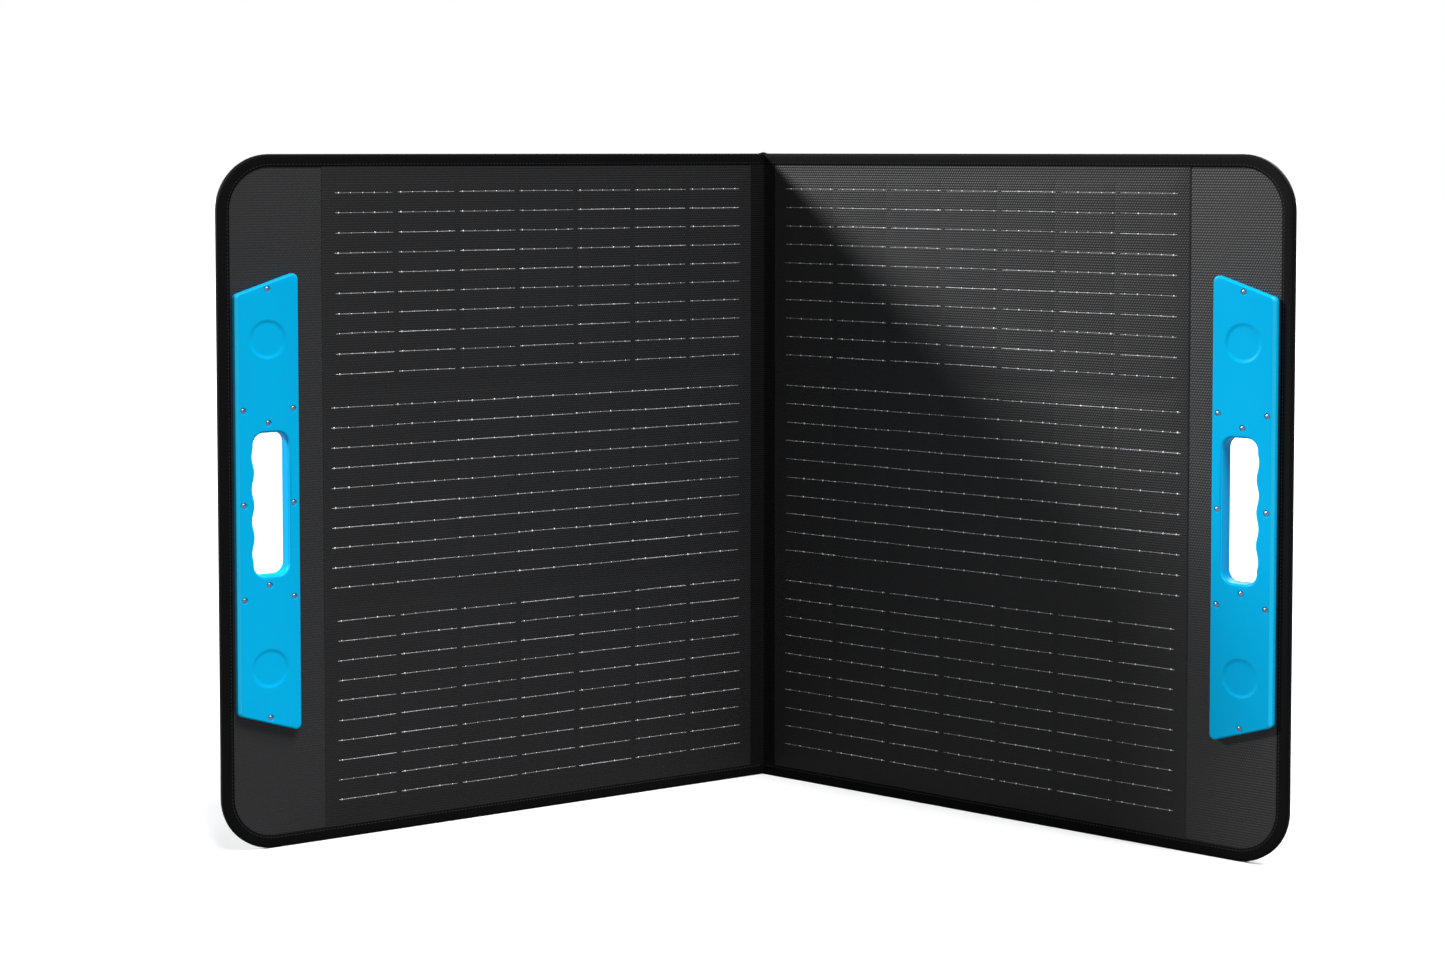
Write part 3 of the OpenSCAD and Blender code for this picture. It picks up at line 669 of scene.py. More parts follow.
BLACK = (0.0065, 0.0065, 0.007)
LOOKS = {
    # film and face_cloth: ground colour, then the lighter colour of the weave's dots, which is a painted
    # glint.
    "film": woven_look("film", (0.0015, 0.0015, 0.002), (0.010, 0.010, 0.0118), 0.52),
    "face_cloth": woven_look("face_cloth", (0.003, 0.003, 0.0036), (0.021, 0.021, 0.0235), 0.68),
    "rear_cloth": rear_cloth_look(),
    "spine_cloth": ribbed_look(
        "spine_cloth", 0.0021, "Y", (0.0015, 0.0015, 0.0017), (0.0062, 0.0062, 0.0066), 0.7, 0.0003, 0.12
    ),
    "binding_tape": ribbed_look(
        "binding_tape", 0.0011, "X", (0.0009, 0.0009, 0.001), (0.0034, 0.0034, 0.0037), 0.6, 0.00012, 0.1
    ),
    "webbing": ribbed_look("webbing", 0.0016, "X", BLACK, (0.035, 0.035, 0.037), 0.7, 0.0003, 0.3),
    "hook_loop": hook_loop_look(),
    "thread": thread_look(),
    "handle_plastic": handle_look("handle_plastic", (0.0, 0.42, 0.78), (0.0, 0.45, 0.82)),
    # Lighter blue for the handle's outer chamfer: a painted highlight, not the plastic's own colour.
    "handle_painted_highlight": handle_look("handle_painted_highlight", (0.015, 0.56, 0.93), (0.02, 0.59, 0.96)),
    "ribbon": tin_look("ribbon", (0.34, 0.34, 0.35), (0.66, 0.66, 0.68), 0.5),
    "solder": tin_look("solder", (0.75, 0.75, 0.77), (0.95, 0.95, 0.97), 0.45),
    "cell": cell_look(),
    "backsheet": plastic_look(
        "backsheet", (0.012, 0.012, 0.014), (0.03, 0.03, 0.034), 0.45, 500, 0.00002
    ),
    "board": plastic_look("board", (0.30, 0.31, 0.32), (0.42, 0.43, 0.44), 0.6, 300, 0.0001),
    "copper": metal_look("copper", (0.5, 0.24, 0.12), (0.8, 0.46, 0.3), 0.3, (1, 1, 8)),
    "screw_steel": metal_look("screw_steel", (0.2, 0.25, 0.31), (0.5, 0.57, 0.66), 0.3),
    "magnet": metal_look("magnet", (0.5, 0.5, 0.52), (0.75, 0.75, 0.77), 0.15),
    "box_plastic": plastic_look(
        "box_plastic", (0.012, 0.012, 0.013), (0.03, 0.03, 0.032), 0.5, 1500, 0.00008
    ),
    "circuit_board": plastic_look(
        "circuit_board", (0.01, 0.09, 0.035), (0.03, 0.18, 0.08), 0.35, 350, 0.0001
    ),
    "socket_steel": metal_look("socket_steel", (0.4, 0.4, 0.42), (0.7, 0.7, 0.72), 0.25, (1, 1, 12)),
    "light_lens": lens_look(),
    "rubber": plastic_look("rubber", (0.01, 0.01, 0.01), (0.025, 0.025, 0.026), 0.7, 1100, 0.0001, 0.25),
}


# ---------------------------------------------------------------- leaf pieces


def film(side):
    """Film over the cells, which stand out softly through it, with a rolled outer edge."""
    cell_edges = [CELLS_LO.x + i * CELL_PITCH + e for i in range(CELL_COLUMNS) for e in (0, CELL_W)]
    band_edges = [CELLS_LO.z + i * STRING_PITCH + e for i in range(BANDS) for e in (0, CELL_H)]

    def relief(value, edges):
        """1 over a cell and 0 between cells."""
        share = 0.0
        for low, high in zip(edges[::2], edges[1::2]):
            inside = min(value - low, high - value) / 1.6
            share = max(share, min(1.0, max(0.0, inside + 0.5)))
        return share

    def lines(edges, low, high, step):
        marks = {low, high}
        for edge in edges:
            marks |= {edge - 0.9, edge, edge + 0.9}
        marks = sorted(marks)
        filled = []
        for a, b in zip(marks, marks[1:]):
            filled += [p[0] for p in straight((a,), (b,), step)]
        return filled + [high]

    edge_roll = [(0.0, 0.0), (0.9, 0.06), (1.8, 0.28), (2.3, 0.6), (2.4, FACE_Y - FILM_LO.y)]
    columns = lines(cell_edges, FILM_LO.x, FILM_HI.x - 1.8, 16)
    rows = lines(band_edges, FILM_LO.z - 1, FILM_HI.z + 1, 16)
    front = []
    for z in rows:
        ring = []
        for x in columns:
            lift = 0.1 * relief(x, cell_edges) * relief(z, band_edges)
            uneven = 0.12 * wobble(x, z, 3.1 if side == "left" else 8.7, 90)
            ring.append(Vector((x, FILM_LO.y + 0.05 - lift + min(0.1, uneven), z)))
        for out, drop in edge_roll[1:]:
            ring.append(Vector((columns[-1] + out, FILM_LO.y + 0.05 + drop, z)))
        front.append(ring)
    back = [[Vector((p.x, max(p.y + 0.02, FILM_HI.y), p.z)) for p in ring] for ring in front]
    piece = Piece().shell(front, back)
    make(piece, f"{side}_film_skin", side, 60, "film", f"{side}_leaf", [f"{side}_film"])


# Each solder dot has its distance from the ribbon's outer end, and whether it is a large one.
STRAIGHT_DOTS = ((3.2, True), (15.2, False), (27.4, False), (39.0, True), (51.5, False))
TURNED_DOTS = ((3.0, True), (10.0, False), (17.2, True), (29.0, False), (40.0, True), (50.0, False))


def ribbons(side):
    """Thin ribbons with large and small solder dots, in lengths that nearly meet in the middle band."""
    rng = random.Random(11 if side == "left" else 12)
    piece, solder = Piece(), Piece()
    top_y = FILM_LO.y - 0.05
    half_w, rise = 0.24, 0.14
    places = [(b, c, r) for b in range(BANDS) for c in range(CELL_COLUMNS) for r in range(RIBBONS)]
    for band, column, row in places:
        turned = band == 1
        start, run = (6.5, 61.2) if turned else (1.5, 57)
        large, small = (0.86, 0.42) if turned else (0.78, 0.56)
        x1 = CELLS_HI.x + start - column * CELL_PITCH + rng.uniform(-0.5, 0.5)
        length = run + rng.uniform(-0.6, 0.6)
        z1 = CELLS_LO.z + band * STRING_PITCH + (row + 0.5) * CELL_H / RIBBONS
        z1 += rng.uniform(-0.15, 0.15)
        bow, slant = rng.uniform(-0.25, 0.25), rng.uniform(-0.15, 0.15)
        wide = half_w * rng.uniform(0.85, 1.2)

        def height(share):
            return z1 + bow * math.sin(math.pi * share) + slant * (share - 0.5)

        rings = []
        for i in range(9):
            x, z = x1 - length * i / 8, height(i / 8)
            section = ((0.06, -1), (-rise * 0.8, -0.45), (-rise * 0.8, 0.45), (0.06, 1))
            rings.append([Vector((x, top_y + y, z + wide * across)) for y, across in section])
        piece.tube(rings)
        for dot, is_large in TURNED_DOTS if turned else STRAIGHT_DOTS:
            dot += rng.uniform(-0.5, 0.5)
            r = (large if is_large else small) * rng.uniform(0.8, 1.15)
            z = height(dot / length)
            dome = ((1, 0), (0.8, 0.2), (0.4, 0.34))
            solder.tube(
                [at_depth(circle(x1 - dot, z, r * k, 8), top_y + 0.05 - h) for k, h in dome]
            )
    leaf = f"{side}_leaf"
    make(piece, f"{side}_ribbon_rows", side, 50, "ribbon", leaf, [f"{side}_ribbons"])
    make(solder, f"{side}_solder_dots", side, 60, "ribbon", leaf, look="solder")


def leaf_cloth(side, face, node, height, inner_y):
    """Cloth over one face of the leaf, turned in to depth inner_y at its edge and the grip hole."""
    loops = [leaf_outline(CLOTH_INSET), grip_outline(HOLE_GROW)]
    piece = Piece().cloth(loops, height, 14)
    piece.fill([at_depth(loop, inner_y) for loop in loops])
    for loop in loops:
        piece.loft([[Vector((x, height(x, z), z)) for x, z in loop], at_depth(loop, inner_y)])
    name, slot = f"{side}_{face}_sheet", f"{face}_cloth"
    make(piece, name, side, 60, slot, f"{side}_leaf", [f"{side}_{node}"])


def leaf_cloths(side):
    """Cloth of the face, beside the film and round the handle, and the slacker rear cloth."""
    face_seed, rear_seed = (1.3, 21.3) if side == "left" else (5.1, 25.1)

    def face(x, z):
        return FACE_Y - 0.12 + min(0.1, 0.12 * wobble(x, z, face_seed, 60))

    def rear(x, z):
        return BACK_Y + 0.1 * wobble(x, z, rear_seed, 70) - 0.05

    leaf_cloth(side, "face", "face_fabric", face, FACE_Y + 0.5)
    leaf_cloth(side, "rear", "rear_cover", rear, BACK_Y - 0.55)


def tape_section(lip, t0, t1, inside, turn, crown=0.12):
    """Closed section of a folded binding tape as (inset, depth): from one lip's edge round the
    outside to the other, and back inside, where it is the given depth and inset from the outside."""
    half = [
        (lip, 0.5), (lip - 0.05, 0.2), (lip - 0.35, 0.04), (lip * 0.75, -0.4 * crown),
        (lip * 0.45, -crown), (lip * 0.22, -0.3 * crown), (0.75, 0.12), (0.28, 0.45), (0.04, 1.0),
        (0.0, 1.7),
    ]
    front = [(inset, t0 + depth) for inset, depth in half]
    rear = [(inset, t1 - depth) for inset, depth in reversed(half)]
    y0, y1 = t0 + inside, t1 - inside
    return front + rear + [(lip, y1), (turn, y1), (turn, y0), (lip, y0), front[0]]


def binding_rails(section, outline, seed):
    """A rail of points along the outline for each point of the section, slightly uneven."""
    rails = []
    for inset, y in section:
        rail = []
        for x, z in outline(inset):
            lift = 0.05 * wobble(x, z, seed, 22) * min(1, inset / 3)
            rail.append(Vector((x, y + lift, z)))
        rails.append(rail)
    return rails


def binding(side):
    """Tape folded round the leaf's edge, with its two rows of stitches."""
    section = tape_section(LIP_W, 0, LEAF_T, 1, 1.0)
    seed = 31.0 if side == "left" else 37.0
    piece = Piece().sweep(binding_rails(section, lambda inset: leaf_outline(inset, 8), seed))
    leaf = f"{side}_leaf"
    make(piece, f"{side}_edge_tape", side, 50, "binding_tape", leaf, [f"{side}_binding"])
    path = leaf_outline(LIP_W - 2.2, 10)
    rows = [(at_depth(path, y), facing) for y, facing in ((0.02, -1), (LEAF_T - 0.02, 1))]
    seam(f"{side}_edge_stitches", side, "binding_tape", leaf, rows)


# ---------------------------------------------------------------- handles


def handle_front(side):
    """Front plate of the handle, with its outer chamfer, dishes, screw seats and grip sleeve. The
    chamfer's faces towards the front get a lighter blue, a painted highlight.
    """
    face_y = PLATE_LO.y
    base_y = FACE_Y - 0.1
    profile = [
        (0.35, 0.35, base_y), (0.0, 0.0, base_y - 0.4), (0.0, 0.0, face_y + 2.9),
        (0.0, 0.1, face_y + 2.5), (0.1, 0.4, face_y + 2.15), (0.3, 1.3, face_y + 1.3),
        (0.6, 2.2, face_y + 0.45), (1.0, 2.6, face_y + 0.15), (1.7, 3.1, face_y),
    ]
    rings = [at_depth(plate_outline(a, b, 4.6), y) for a, b, y in profile]
    piece = Piece().loft(rings)
    grip = [
        (2.6, face_y), (1.9, face_y + 0.1), (1.2, face_y + 0.42), (0.6, face_y + 1.0),
        (0.2, face_y + 1.8), (0.0, face_y + 2.8), (0.0, BACK_Y - 0.25), (0.25, BACK_Y - 0.05),
        (1.9, BACK_Y - 0.05), (1.9, base_y + 0.1),
    ]
    grip_rings = [at_depth(grip_outline(g), y) for g, y in grip]
    piece.loft(grip_rings)
    openings = [grip_rings[0]]
    slope = [i / 10 for i in range(11)]
    dish = [(DISH_R - 4.2 * t, 0.85 * t * t * (3 - 2 * t)) for t in slope] + [(7.0, 0.87)]
    seat = [(3.35, 0.0), (3.1, 0.08), (2.95, 0.3), (2.9, 0.88)]
    sinks = [((PLATE_MID_X, MID_Z + s * DISH_Z), dish, 56) for s in (-1, 1)]
    sinks += [(place, seat, 24) for place in SCREW_PLACES]
    for (x, z), section, steps in sinks:
        sink = [at_depth(circle(x, z, r, steps), face_y + depth) for r, depth in section]
        piece.loft(sink).fill([sink[-1]])
        openings.append(sink[0])
    piece.fill([rings[-1]] + openings)
    piece.fill([rings[0], grip_rings[-1]])
    name, nodes = f"{side}_handle_plate", [f"{side}_handle_front"]
    obj = even_normals(make(piece, name, side, 34, "handle_plastic", f"{side}_leaf", nodes))
    # Painted highlight: the outer chamfer's faces that face out and to the front take the lighter blue
    # second material.
    obj.data.materials.append(LOOKS["handle_painted_highlight"])
    to_leaf = TO_SIDE[side].inverted().to_3x3()
    for face in obj.data.polygons:
        out = (to_leaf @ face.normal).normalized()
        if out.x > 0.45 and out.y < -0.45:
            face.material_index = 1


def handle_rear(side):
    """Rear plate of the handle, with a shallow panel and round grip edge."""
    face_y = REAR_Y
    profile = [
        (0.35, BACK_Y), (0.0, BACK_Y + 0.4), (0.0, face_y - 1.9), (0.15, face_y - 1.2),
        (0.55, face_y - 0.6), (1.2, face_y - 0.2), (2.1, face_y), (5.0, face_y),
        (5.6, face_y - 0.15), (6.0, face_y - 0.5), (6.6, face_y - 0.65),
    ]
    rings = [at_depth(plate_outline(a, a, 4.6 if a < 4 else 3), y) for a, y in profile]
    piece = Piece().loft(rings)
    grip = [
        (6.2, face_y - 0.65), (5.8, face_y - 0.5), (5.4, face_y - 0.12), (4.8, face_y),
        (2.6, face_y), (1.6, face_y - 0.15), (0.7, face_y - 0.7), (0.15, face_y - 1.6),
        (0.0, face_y - 2.5), (0.0, BACK_Y + 0.25), (0.25, BACK_Y),
    ]
    grip_rings = [at_depth(grip_outline(g), y) for g, y in grip]
    piece.loft(grip_rings)
    piece.fill([rings[-1], grip_rings[0]])
    piece.fill([rings[0], grip_rings[-1]])
    name, nodes = f"{side}_handle_back", [f"{side}_handle_rear"]
    even_normals(make(piece, name, side, 34, "handle_plastic", f"{side}_leaf", nodes))


# ---------------------------------------------------------------- prop stands

STAND_INSET = 1.2
STAND_SWING = math.radians(JOINTS["right_stand_hinge"]["range_deg"][1])
STAND_PIVOT = FROM_RIGHT @ Vector(JOINTS["right_stand_hinge"]["pos_m"])


def stand_outline(inset, step=14):
    """From the top of one side round the foot to the top of the other."""
    x0, x1, z0, r = STAND_LO.x, STAND_HI.x, STAND_LO.z, 30
    return (
        straight((x0 + inset, STAND_HI.z), (x0 + inset, z0 + r), step)
        + arc(x0 + r, z0 + r, r - inset, 180)
        + straight((x0 + r, z0 + inset), (x1 - r, z0 + inset), step)[1:]
        + arc(x1 - r, z0 + r, r - inset, 270)
        + straight((x1 - inset, z0 + r), (x1 - inset, STAND_HI.z), step)[1:]
        + [(x1 - inset, STAND_HI.z)]
    )


def stand(side):
    """Cloth-covered prop board with a bound edge and a sewn border."""
    leaf, body = f"{side}_leaf", f"{side}_stand"
    y0, y1 = STAND_LO.y, STAND_HI.y
    seed = 41.0 if side == "left" else 47.0
    outline = stand_outline(STAND_INSET)

    def panel(y, out):
        def height(x, z):
            edge = min(x - STAND_LO.x, STAND_HI.x - x, z - STAND_LO.z)
            crease = math.exp(-(((edge - 22) / 1.6) ** 2))
            crown = min(1.0, max(0.0, edge - 10) / 12)
            return y + out * (0.16 * crown - 0.28 * crease + 0.1 * wobble(x, z, seed, 45))

        return height

    faces = (panel(y0 + 0.35, -1), panel(y1 - 0.35, 1))
    piece = Piece()
    for height in faces:
        piece.cloth([outline], height, 9)
    piece.loft([[Vector((x, height(x, z), z)) for x, z in outline] for height in faces])
    make(piece, f"{side}_stand_panel", side, 60, "rear_cloth", body, [f"{side}_stand_cover"])

    section = tape_section(9, y0, y1, 0.6, STAND_INSET, 0.1)
    edge = Piece().sweep(binding_rails(section, lambda inset: stand_outline(inset, 8), seed))
    make(edge, f"{side}_stand_edge_tape", side, 50, "binding_tape", body)
    rows = [(stand_outline(7, 10), y0 + 0.02, -1), (stand_outline(7, 10), y1 - 0.02, 1)]
    rows.append((stand_outline(22, 10), y1 - 0.42, 1))
    rows = [(at_depth(path, y), facing) for path, y, facing in rows]
    seam(f"{side}_stand_stitches", side, "rear_cloth", body, rows)

    stand_tape(side, leaf, body)
    for index, x in enumerate((STRAP_LO.x + STRAP_W / 2, STRAP_HI.x - STRAP_W / 2)):
        strap(side, index, x, leaf, body)
    for kind, ride_on in (("loop", leaf), ("hook", body)):
        box = leaf_box(f"right_stand_{kind}_pad")
        pad(f"{side}_stand_{kind}_patch", side, box, ride_on, f"{side}_stand_{kind}_pad")


def strip(path, x0, x1, thickness, steps):
    """Flat strip that follows a path of (y, z) points, between two x places."""
    columns = [x0 + (x1 - x0) * k / steps for k in range(steps + 1)]
    rings = []
    for i, (y, z) in enumerate(path):
        ya, za = path[max(0, i - 1)]
        yb, zb = path[min(len(path) - 1, i + 1)]
        way = Vector((yb - ya, zb - za)).normalized()
        ny, nz = way.y * thickness / 2, -way.x * thickness / 2
        ring = [Vector((x, y + ny, z + nz)) for x in columns]
        rings.append(ring + [Vector((x, y - ny, z - nz)) for x in reversed(columns)])
    return Piece().tube(rings)


def stand_tape_path():
    """Section of the hinge tape as (depth, height): down the leaf and over onto the stand."""
    top, face_y = STAND_HI.z, STAND_HI.y
    path = [(BACK_Y + 0.35, TAPE_HI.z - 28 * i / 7) for i in range(7)]
    bend = [(5.4, 3.4), (5.9, 2.2), (7.0, 1.35), (8.6, 1.0), (10.3, 0.85), (11.6, 0.4), (12.25, -0.8)]
    path += [(y, top + dz) for y, dz in bend]
    return path + [(face_y + 0.35, top - 3 - 3.4 * i) for i in range(5)]


def stand_tape(side, leaf, body):
    """Hinge tape sewn to the leaf above the stand and to the stand's outer face."""
    top, face_y = STAND_HI.z, STAND_HI.y
    x0, x1 = TAPE_LO.x, TAPE_HI.x
    piece = strip(stand_tape_path(), x0, x1, 0.7, 20)
    nodes = [f"{side}_stand_hinge_tape"]
    obj = make(piece, f"{side}_stand_tape", side, 60, "webbing", None, nodes)
    bend_between(obj, side, leaf, body, (BACK_Y + 0.4, top + 5.5), (face_y + 0.4, top - 3.5))
    for name, y, heights, ride_on in (
        ("leaf", BACK_Y + 0.68, (TAPE_HI.z - 3, TAPE_HI.z - 9), leaf),
        ("panel", face_y + 0.68, (top - 13.5,), body),
    ):
        rows = [(at_depth([(x0 + 3, z), (x1 - 3, z)], y), 1) for z in heights]
        seam(f"{side}_stand_tape_{name}_stitches", side, "webbing", ride_on, rows)


def bend_between(obj, side, leaf, body, start, end):
    """Bakes the piece's transform into its mesh, and turns start and end, each a (depth, height), into
    points on the side, which it leaves unused. leaf and body are not used.
    """
    start, end = (TO_SIDE[side] @ Vector((0, y, z)) for y, z in (start, end))
    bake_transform(obj)
    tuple(start)
    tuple(end)


STRAP_W = 20
STRAP_Y0, STRAP_Y1 = BACK_Y + 0.3, STAND_LO.y - 0.3


def strap_path():
    """Section of a limiter strap as (depth, height), folded between leaf and stand."""
    reach = STAND_PIVOT.z - STRAP_LO.z
    y0, y1 = STRAP_Y0, STRAP_Y1
    count = 28
    path = [(y0, STRAP_LO.z - 24 + 4 * i) for i in range(6)]
    for i in range(count + 1):
        share = i / count
        lean = (share - 0.5) * STAND_SWING
        radius = reach * math.cos(STAND_SWING / 2) / math.cos(lean)
        across = 0.5 - math.sin(math.asin(1 - 2 * share) / 3)
        path.append((y0 + (y1 - y0) * across, STAND_PIVOT.z - radius))
    tab = min(24, STRAP_LO.z - STAND_LO.z - 12)
    return path + [(y1, STRAP_LO.z - tab * (i + 1) / 6) for i in range(6)]


def strap(side, index, x, leaf, body):
    """Limiter strap, folded between leaf and stand."""
    half_w, half_t = STRAP_W / 2, 0.22
    corners = ((-half_w, -half_t), (half_w, -half_t), (half_w, half_t), (-half_w, half_t))
    piece = Piece().tube([[Vector((x + a, y + b, z)) for a, b in corners] for y, z in strap_path()])
    replaced = [f"{side}_stand_straps"] if index == 0 else []
    name = f"{side}_stand_strap_{index + 1}"
    obj = make(piece, name, side, 60, "webbing", None, replaced)
    bend_between(obj, side, leaf, body, (STRAP_Y0, 0), (STRAP_Y1, 0))


def pad(name, side, box, body, node):
    """Thin hook or loop pad with round corners and a soft edge."""
    lo, hi = box
    thick = hi.y - lo.y
    profile = [(0.5, 0), (0.1, 0.2), (0.0, 0.5), (0.1, 0.8), (0.6, 1)]
    rings = [
        at_depth(rounded_box(lo.x + i, hi.x - i, lo.z + i, hi.z - i, 3), lo.y + thick * s)
        for i, s in profile
    ]
    make(Piece().tube(rings), name, side, 50, "hook_loop", body, [node])


# ---------------------------------------------------------------- spine


def fold_ring(radius, z, flange, steps=16):
    """Points across the fold at one height, in metres in the row's frame: along the left leaf,
    round the fold and along the right one. flange lists distances from the fold axis outwards."""
    right = [TO_RIGHT @ Vector((x, radius - FOLD_GAP, z)) for x in flange]
    left = [Vector((-p.x, p.y, p.z)) for p in right]
    middle = []
    for i in range(1, steps):
        t = LEAN * (2 * i / steps - 1)
        x, y = radius * math.sin(t) * MM, FOLD.y + radius * math.cos(t) * MM
        middle.append(Vector((x, y, z * MM)))
    return list(reversed(left)) + middle + right


def bend_over_fold(obj):
    """Bakes the piece's transform into its mesh."""
    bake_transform(obj)


def spine_strip(name, near, far, crease, replaced):
    """Ribbed cloth strip on one face of the fold."""
    flange = [0.0, 0.6] + [0.6 + (SPINE_W - 0.6) * i / 40 for i in range(1, 41)]
    heights = [LIP_W - 1 + (LEAF_H - 2 * LIP_W + 2) * i / 24 for i in range(25)]
    sheets = []
    for radius, sign in ((near, -1), (far, 1)):
        rings = []
        for z in heights:
            ring = fold_ring(radius, z, flange)
            count = len(ring)
            for k, point in enumerate(ring):
                from_end = min(k, count - 1 - k)
                if from_end < 40 and crease * sign > 0:
                    rib = 0.16 * (1 + math.cos(math.tau * from_end / 6.5)) / 2
                    out = Vector((point.x, point.y - FOLD.y, 0)).normalized()
                    ring[k] = point - sign * out * (0.16 - rib) * MM
            rings.append([FROM_RIGHT @ p for p in ring])
        sheets.append(rings)
    obj = make(Piece().shell(*sheets), name, "right", 50, "spine_cloth", None, replaced)
    bend_over_fold(obj)


def spine():
    """Front and rear spine cloth, the binding's pinch over the fold, and the link wires."""
    spine_strip("spine_front_cloth", FOLD_GAP + 0.05, FOLD_GAP + 0.95, -1, ["spine_web"])
    spine_strip("spine_rear_cloth", FOLD_GAP + LEAF_T - 1, FOLD_GAP + LEAF_T, 1, ["spine_cover"])
    spine_caps()
    link_wires()


def spine_caps():
    """The edge tape carries on over the fold, pinched up a little at its middle."""
    for name, pinch, replaced in (("top", 1.3, ["spine_binding"]), ("bottom", 0, [])):
        rails = []
        for inset, y in tape_section(LIP_W, 0, LEAF_T, 1, 1.0):
            z = LEAF_H - inset if name == "top" else inset
            ring = fold_ring(FOLD_GAP + y, z, [0.0, 0.5, 1.1, 2.0])
            count = len(ring)
            for k in range(count):
                share = math.sin(math.pi * k / (count - 1)) ** 2
                ring[k].z += pinch * share * max(0.0, 1 - inset / 3) * MM
            rails.append([FROM_RIGHT @ p for p in ring])
        piece = Piece().sweep(rails)
        bend_over_fold(make(piece, f"fold_tape_{name}", "right", 50, "binding_tape", None, replaced))


def link_wires():
    """Two sheathed wires inside the spine."""
    lo, hi = leaf_box("link_cables")
    wire_r = 1.2
    turns = [math.tau * k / 10 for k in range(10)]
    piece = Piece()
    for z in (hi.z - wire_r, lo.z + wire_r):
        line = fold_ring(FOLD_GAP + LEAF_T / 2, z, [3 * i for i in range(13)])
        line = [FROM_RIGHT @ p for p in line]
        rings = []
        for i, point in enumerate(line):
            way = line[min(i + 1, len(line) - 1)] - line[max(i - 1, 0)]
            side = Vector((way.y, -way.x, 0)).normalized()
            ring = [side * math.cos(t) + Vector((0, 0, math.sin(t))) for t in turns]
            rings.append([point + wire_r * p for p in ring])
        piece.tube(rings)
    obj = make(piece, "fold_wires", "right", 60, "copper", None, ["link_cables"], "rubber")
    bend_over_fold(obj)


# ---------------------------------------------------------------- pocket


def pocket_depth(x, z):
    """Depth of the bag's front panel: full in the middle, drawn in at sides and bottom."""
    u = (x - POCKET_LO.x) / (POCKET_HI.x - POCKET_LO.x)
    v = (z - POCKET_LO.z) / (POCKET_HI.z - POCKET_LO.z)
    side = (1 - abs(2 * u - 1) ** 9) ** 0.5
    foot = (1 - (1 - min(1.0, v / 0.16)) ** 3.2) ** 0.5
    slack = 1.1 * wobble(x, z, 61.0, 38) + 0.5 * wobble(x, z, 67.0, 14)
    sag = 1.3 * math.sin(math.pi * u) * math.exp(-(((v - 0.3) / 0.3) ** 2))
    full = POCKET_HI.y - BACK_Y - 2.2
    return BACK_Y + 0.2 + side * foot * (full + slack + sag)


def pocket():
    """Soft bag on the right leaf's back, with a bound mouth."""
    x0, x1, z0, z1 = POCKET_LO.x, POCKET_HI.x, POCKET_LO.z, POCKET_HI.z
    columns = [x0 + (x1 - x0) * (1 - math.cos(math.pi * i / 60)) / 2 for i in range(61)]
    heights = [z0 + (z1 - z0) * (i / 40) ** 1.25 for i in range(41)]
    outer = [[Vector((x, pocket_depth(x, z), z)) for x in columns] for z in heights]
    inner = [[Vector((p.x, max(BACK_Y + 0.1, p.y - 0.9), p.z)) for p in ring] for ring in outer]
    piece = Piece().shell(outer, inner)
    make(piece, "pocket_bag", "right", 70, "rear_cloth", "right_leaf", ["pocket_shell"])

    hem = ((0.5, -9), (0.65, -4), (0.6, 0.2), (0.2, 0.7), (-0.8, 0.7), (-1.4, 0.2), (-1.5, -4), (-1.3, -9))
    rings = []
    for x in columns:
        depths = [max(BACK_Y + 0.1, pocket_depth(x, z1 + min(0, b)) + a) for a, b in hem]
        rings.append([Vector((x, y, z1 + b)) for y, (a, b) in zip(depths, hem)])
    piece = Piece().tube(rings)
    make(piece, "pocket_mouth_tape", "right", 60, "binding_tape", "right_leaf")
    z = z1 - 7
    row = [Vector((x, pocket_depth(x, z) + 0.62, z)) for x in columns[3:-3]]
    seam("pocket_mouth_stitches", "right", "rear_cloth", "right_leaf", [(row, 1)])

    r = 8
    outline = (
        straight((x0, z1), (x0, z0 + r), 8)
        + arc(x0 + r, z0 + r, r, 180)
        + straight((x0 + r, z0), (x1 - r, z0), 8)[1:]
        + arc(x1 - r, z0 + r, r, 270)
        + straight((x1, z0 + r), (x1, z1), 8)[1:]
        + [(x1, z1)]
    )
    welt = ((6.5, 0.05), (6.5, 0.75), (1.5, 0.95), (-0.5, 1.6), (-1.6, 2.6), (-2.0, 0.05))
    rings = []
    for x, z in outline:
        centre = Vector((min(max(x, x0 + r), x1 - r), 0, min(max(z, z0 + r), z1)))
        out = (Vector((x, 0, z)) - centre).normalized()
        rings.append([Vector((x, BACK_Y + y, z)) + out * o for o, y in welt])
    piece = Piece().tube(rings)
    make(piece, "pocket_seam_tape", "right", 60, "binding_tape", "right_leaf")


FLAP_PIVOT = FROM_RIGHT @ Vector(JOINTS["pocket_flap_hinge"]["pos_m"])


def flap_path():
    """Section of the flap as (depth, height): out over the mouth and down the front."""
    y_out, z_top = FLAP_HI.y - 0.75, FLAP_HI.z - 0.75
    r = 5.5
    path = [(FLAP_PIVOT.y + 1.6 + (y_out - r - FLAP_PIVOT.y - 1.6) * i / 6, z_top) for i in range(6)]
    for i in range(9):
        t = math.radians(90 * (1 - i / 8))
        path.append((y_out - r + r * math.cos(t), z_top - r + r * math.sin(t)))
    low = FLAP_LO.z
    path += [(y_out, z_top - r - (z_top - r - low) * i / 12) for i in range(1, 13)]
    return path


def flap_tape_path():
    """Section of the flap's hinge tape as (depth, height)."""
    top = FLAP_HI.z - 0.75
    bend = [(5.5, 1.1), (6.1, 0.65), (7.0, 0.75), (8.5, 0.85), (11, 0.85), (13.5, 0.8)]
    path = [(BACK_Y + 0.35, FLAP_HI.z + 16 - 2.6 * i) for i in range(6)]
    return path + [(y, top + dz) for y, dz in bend]


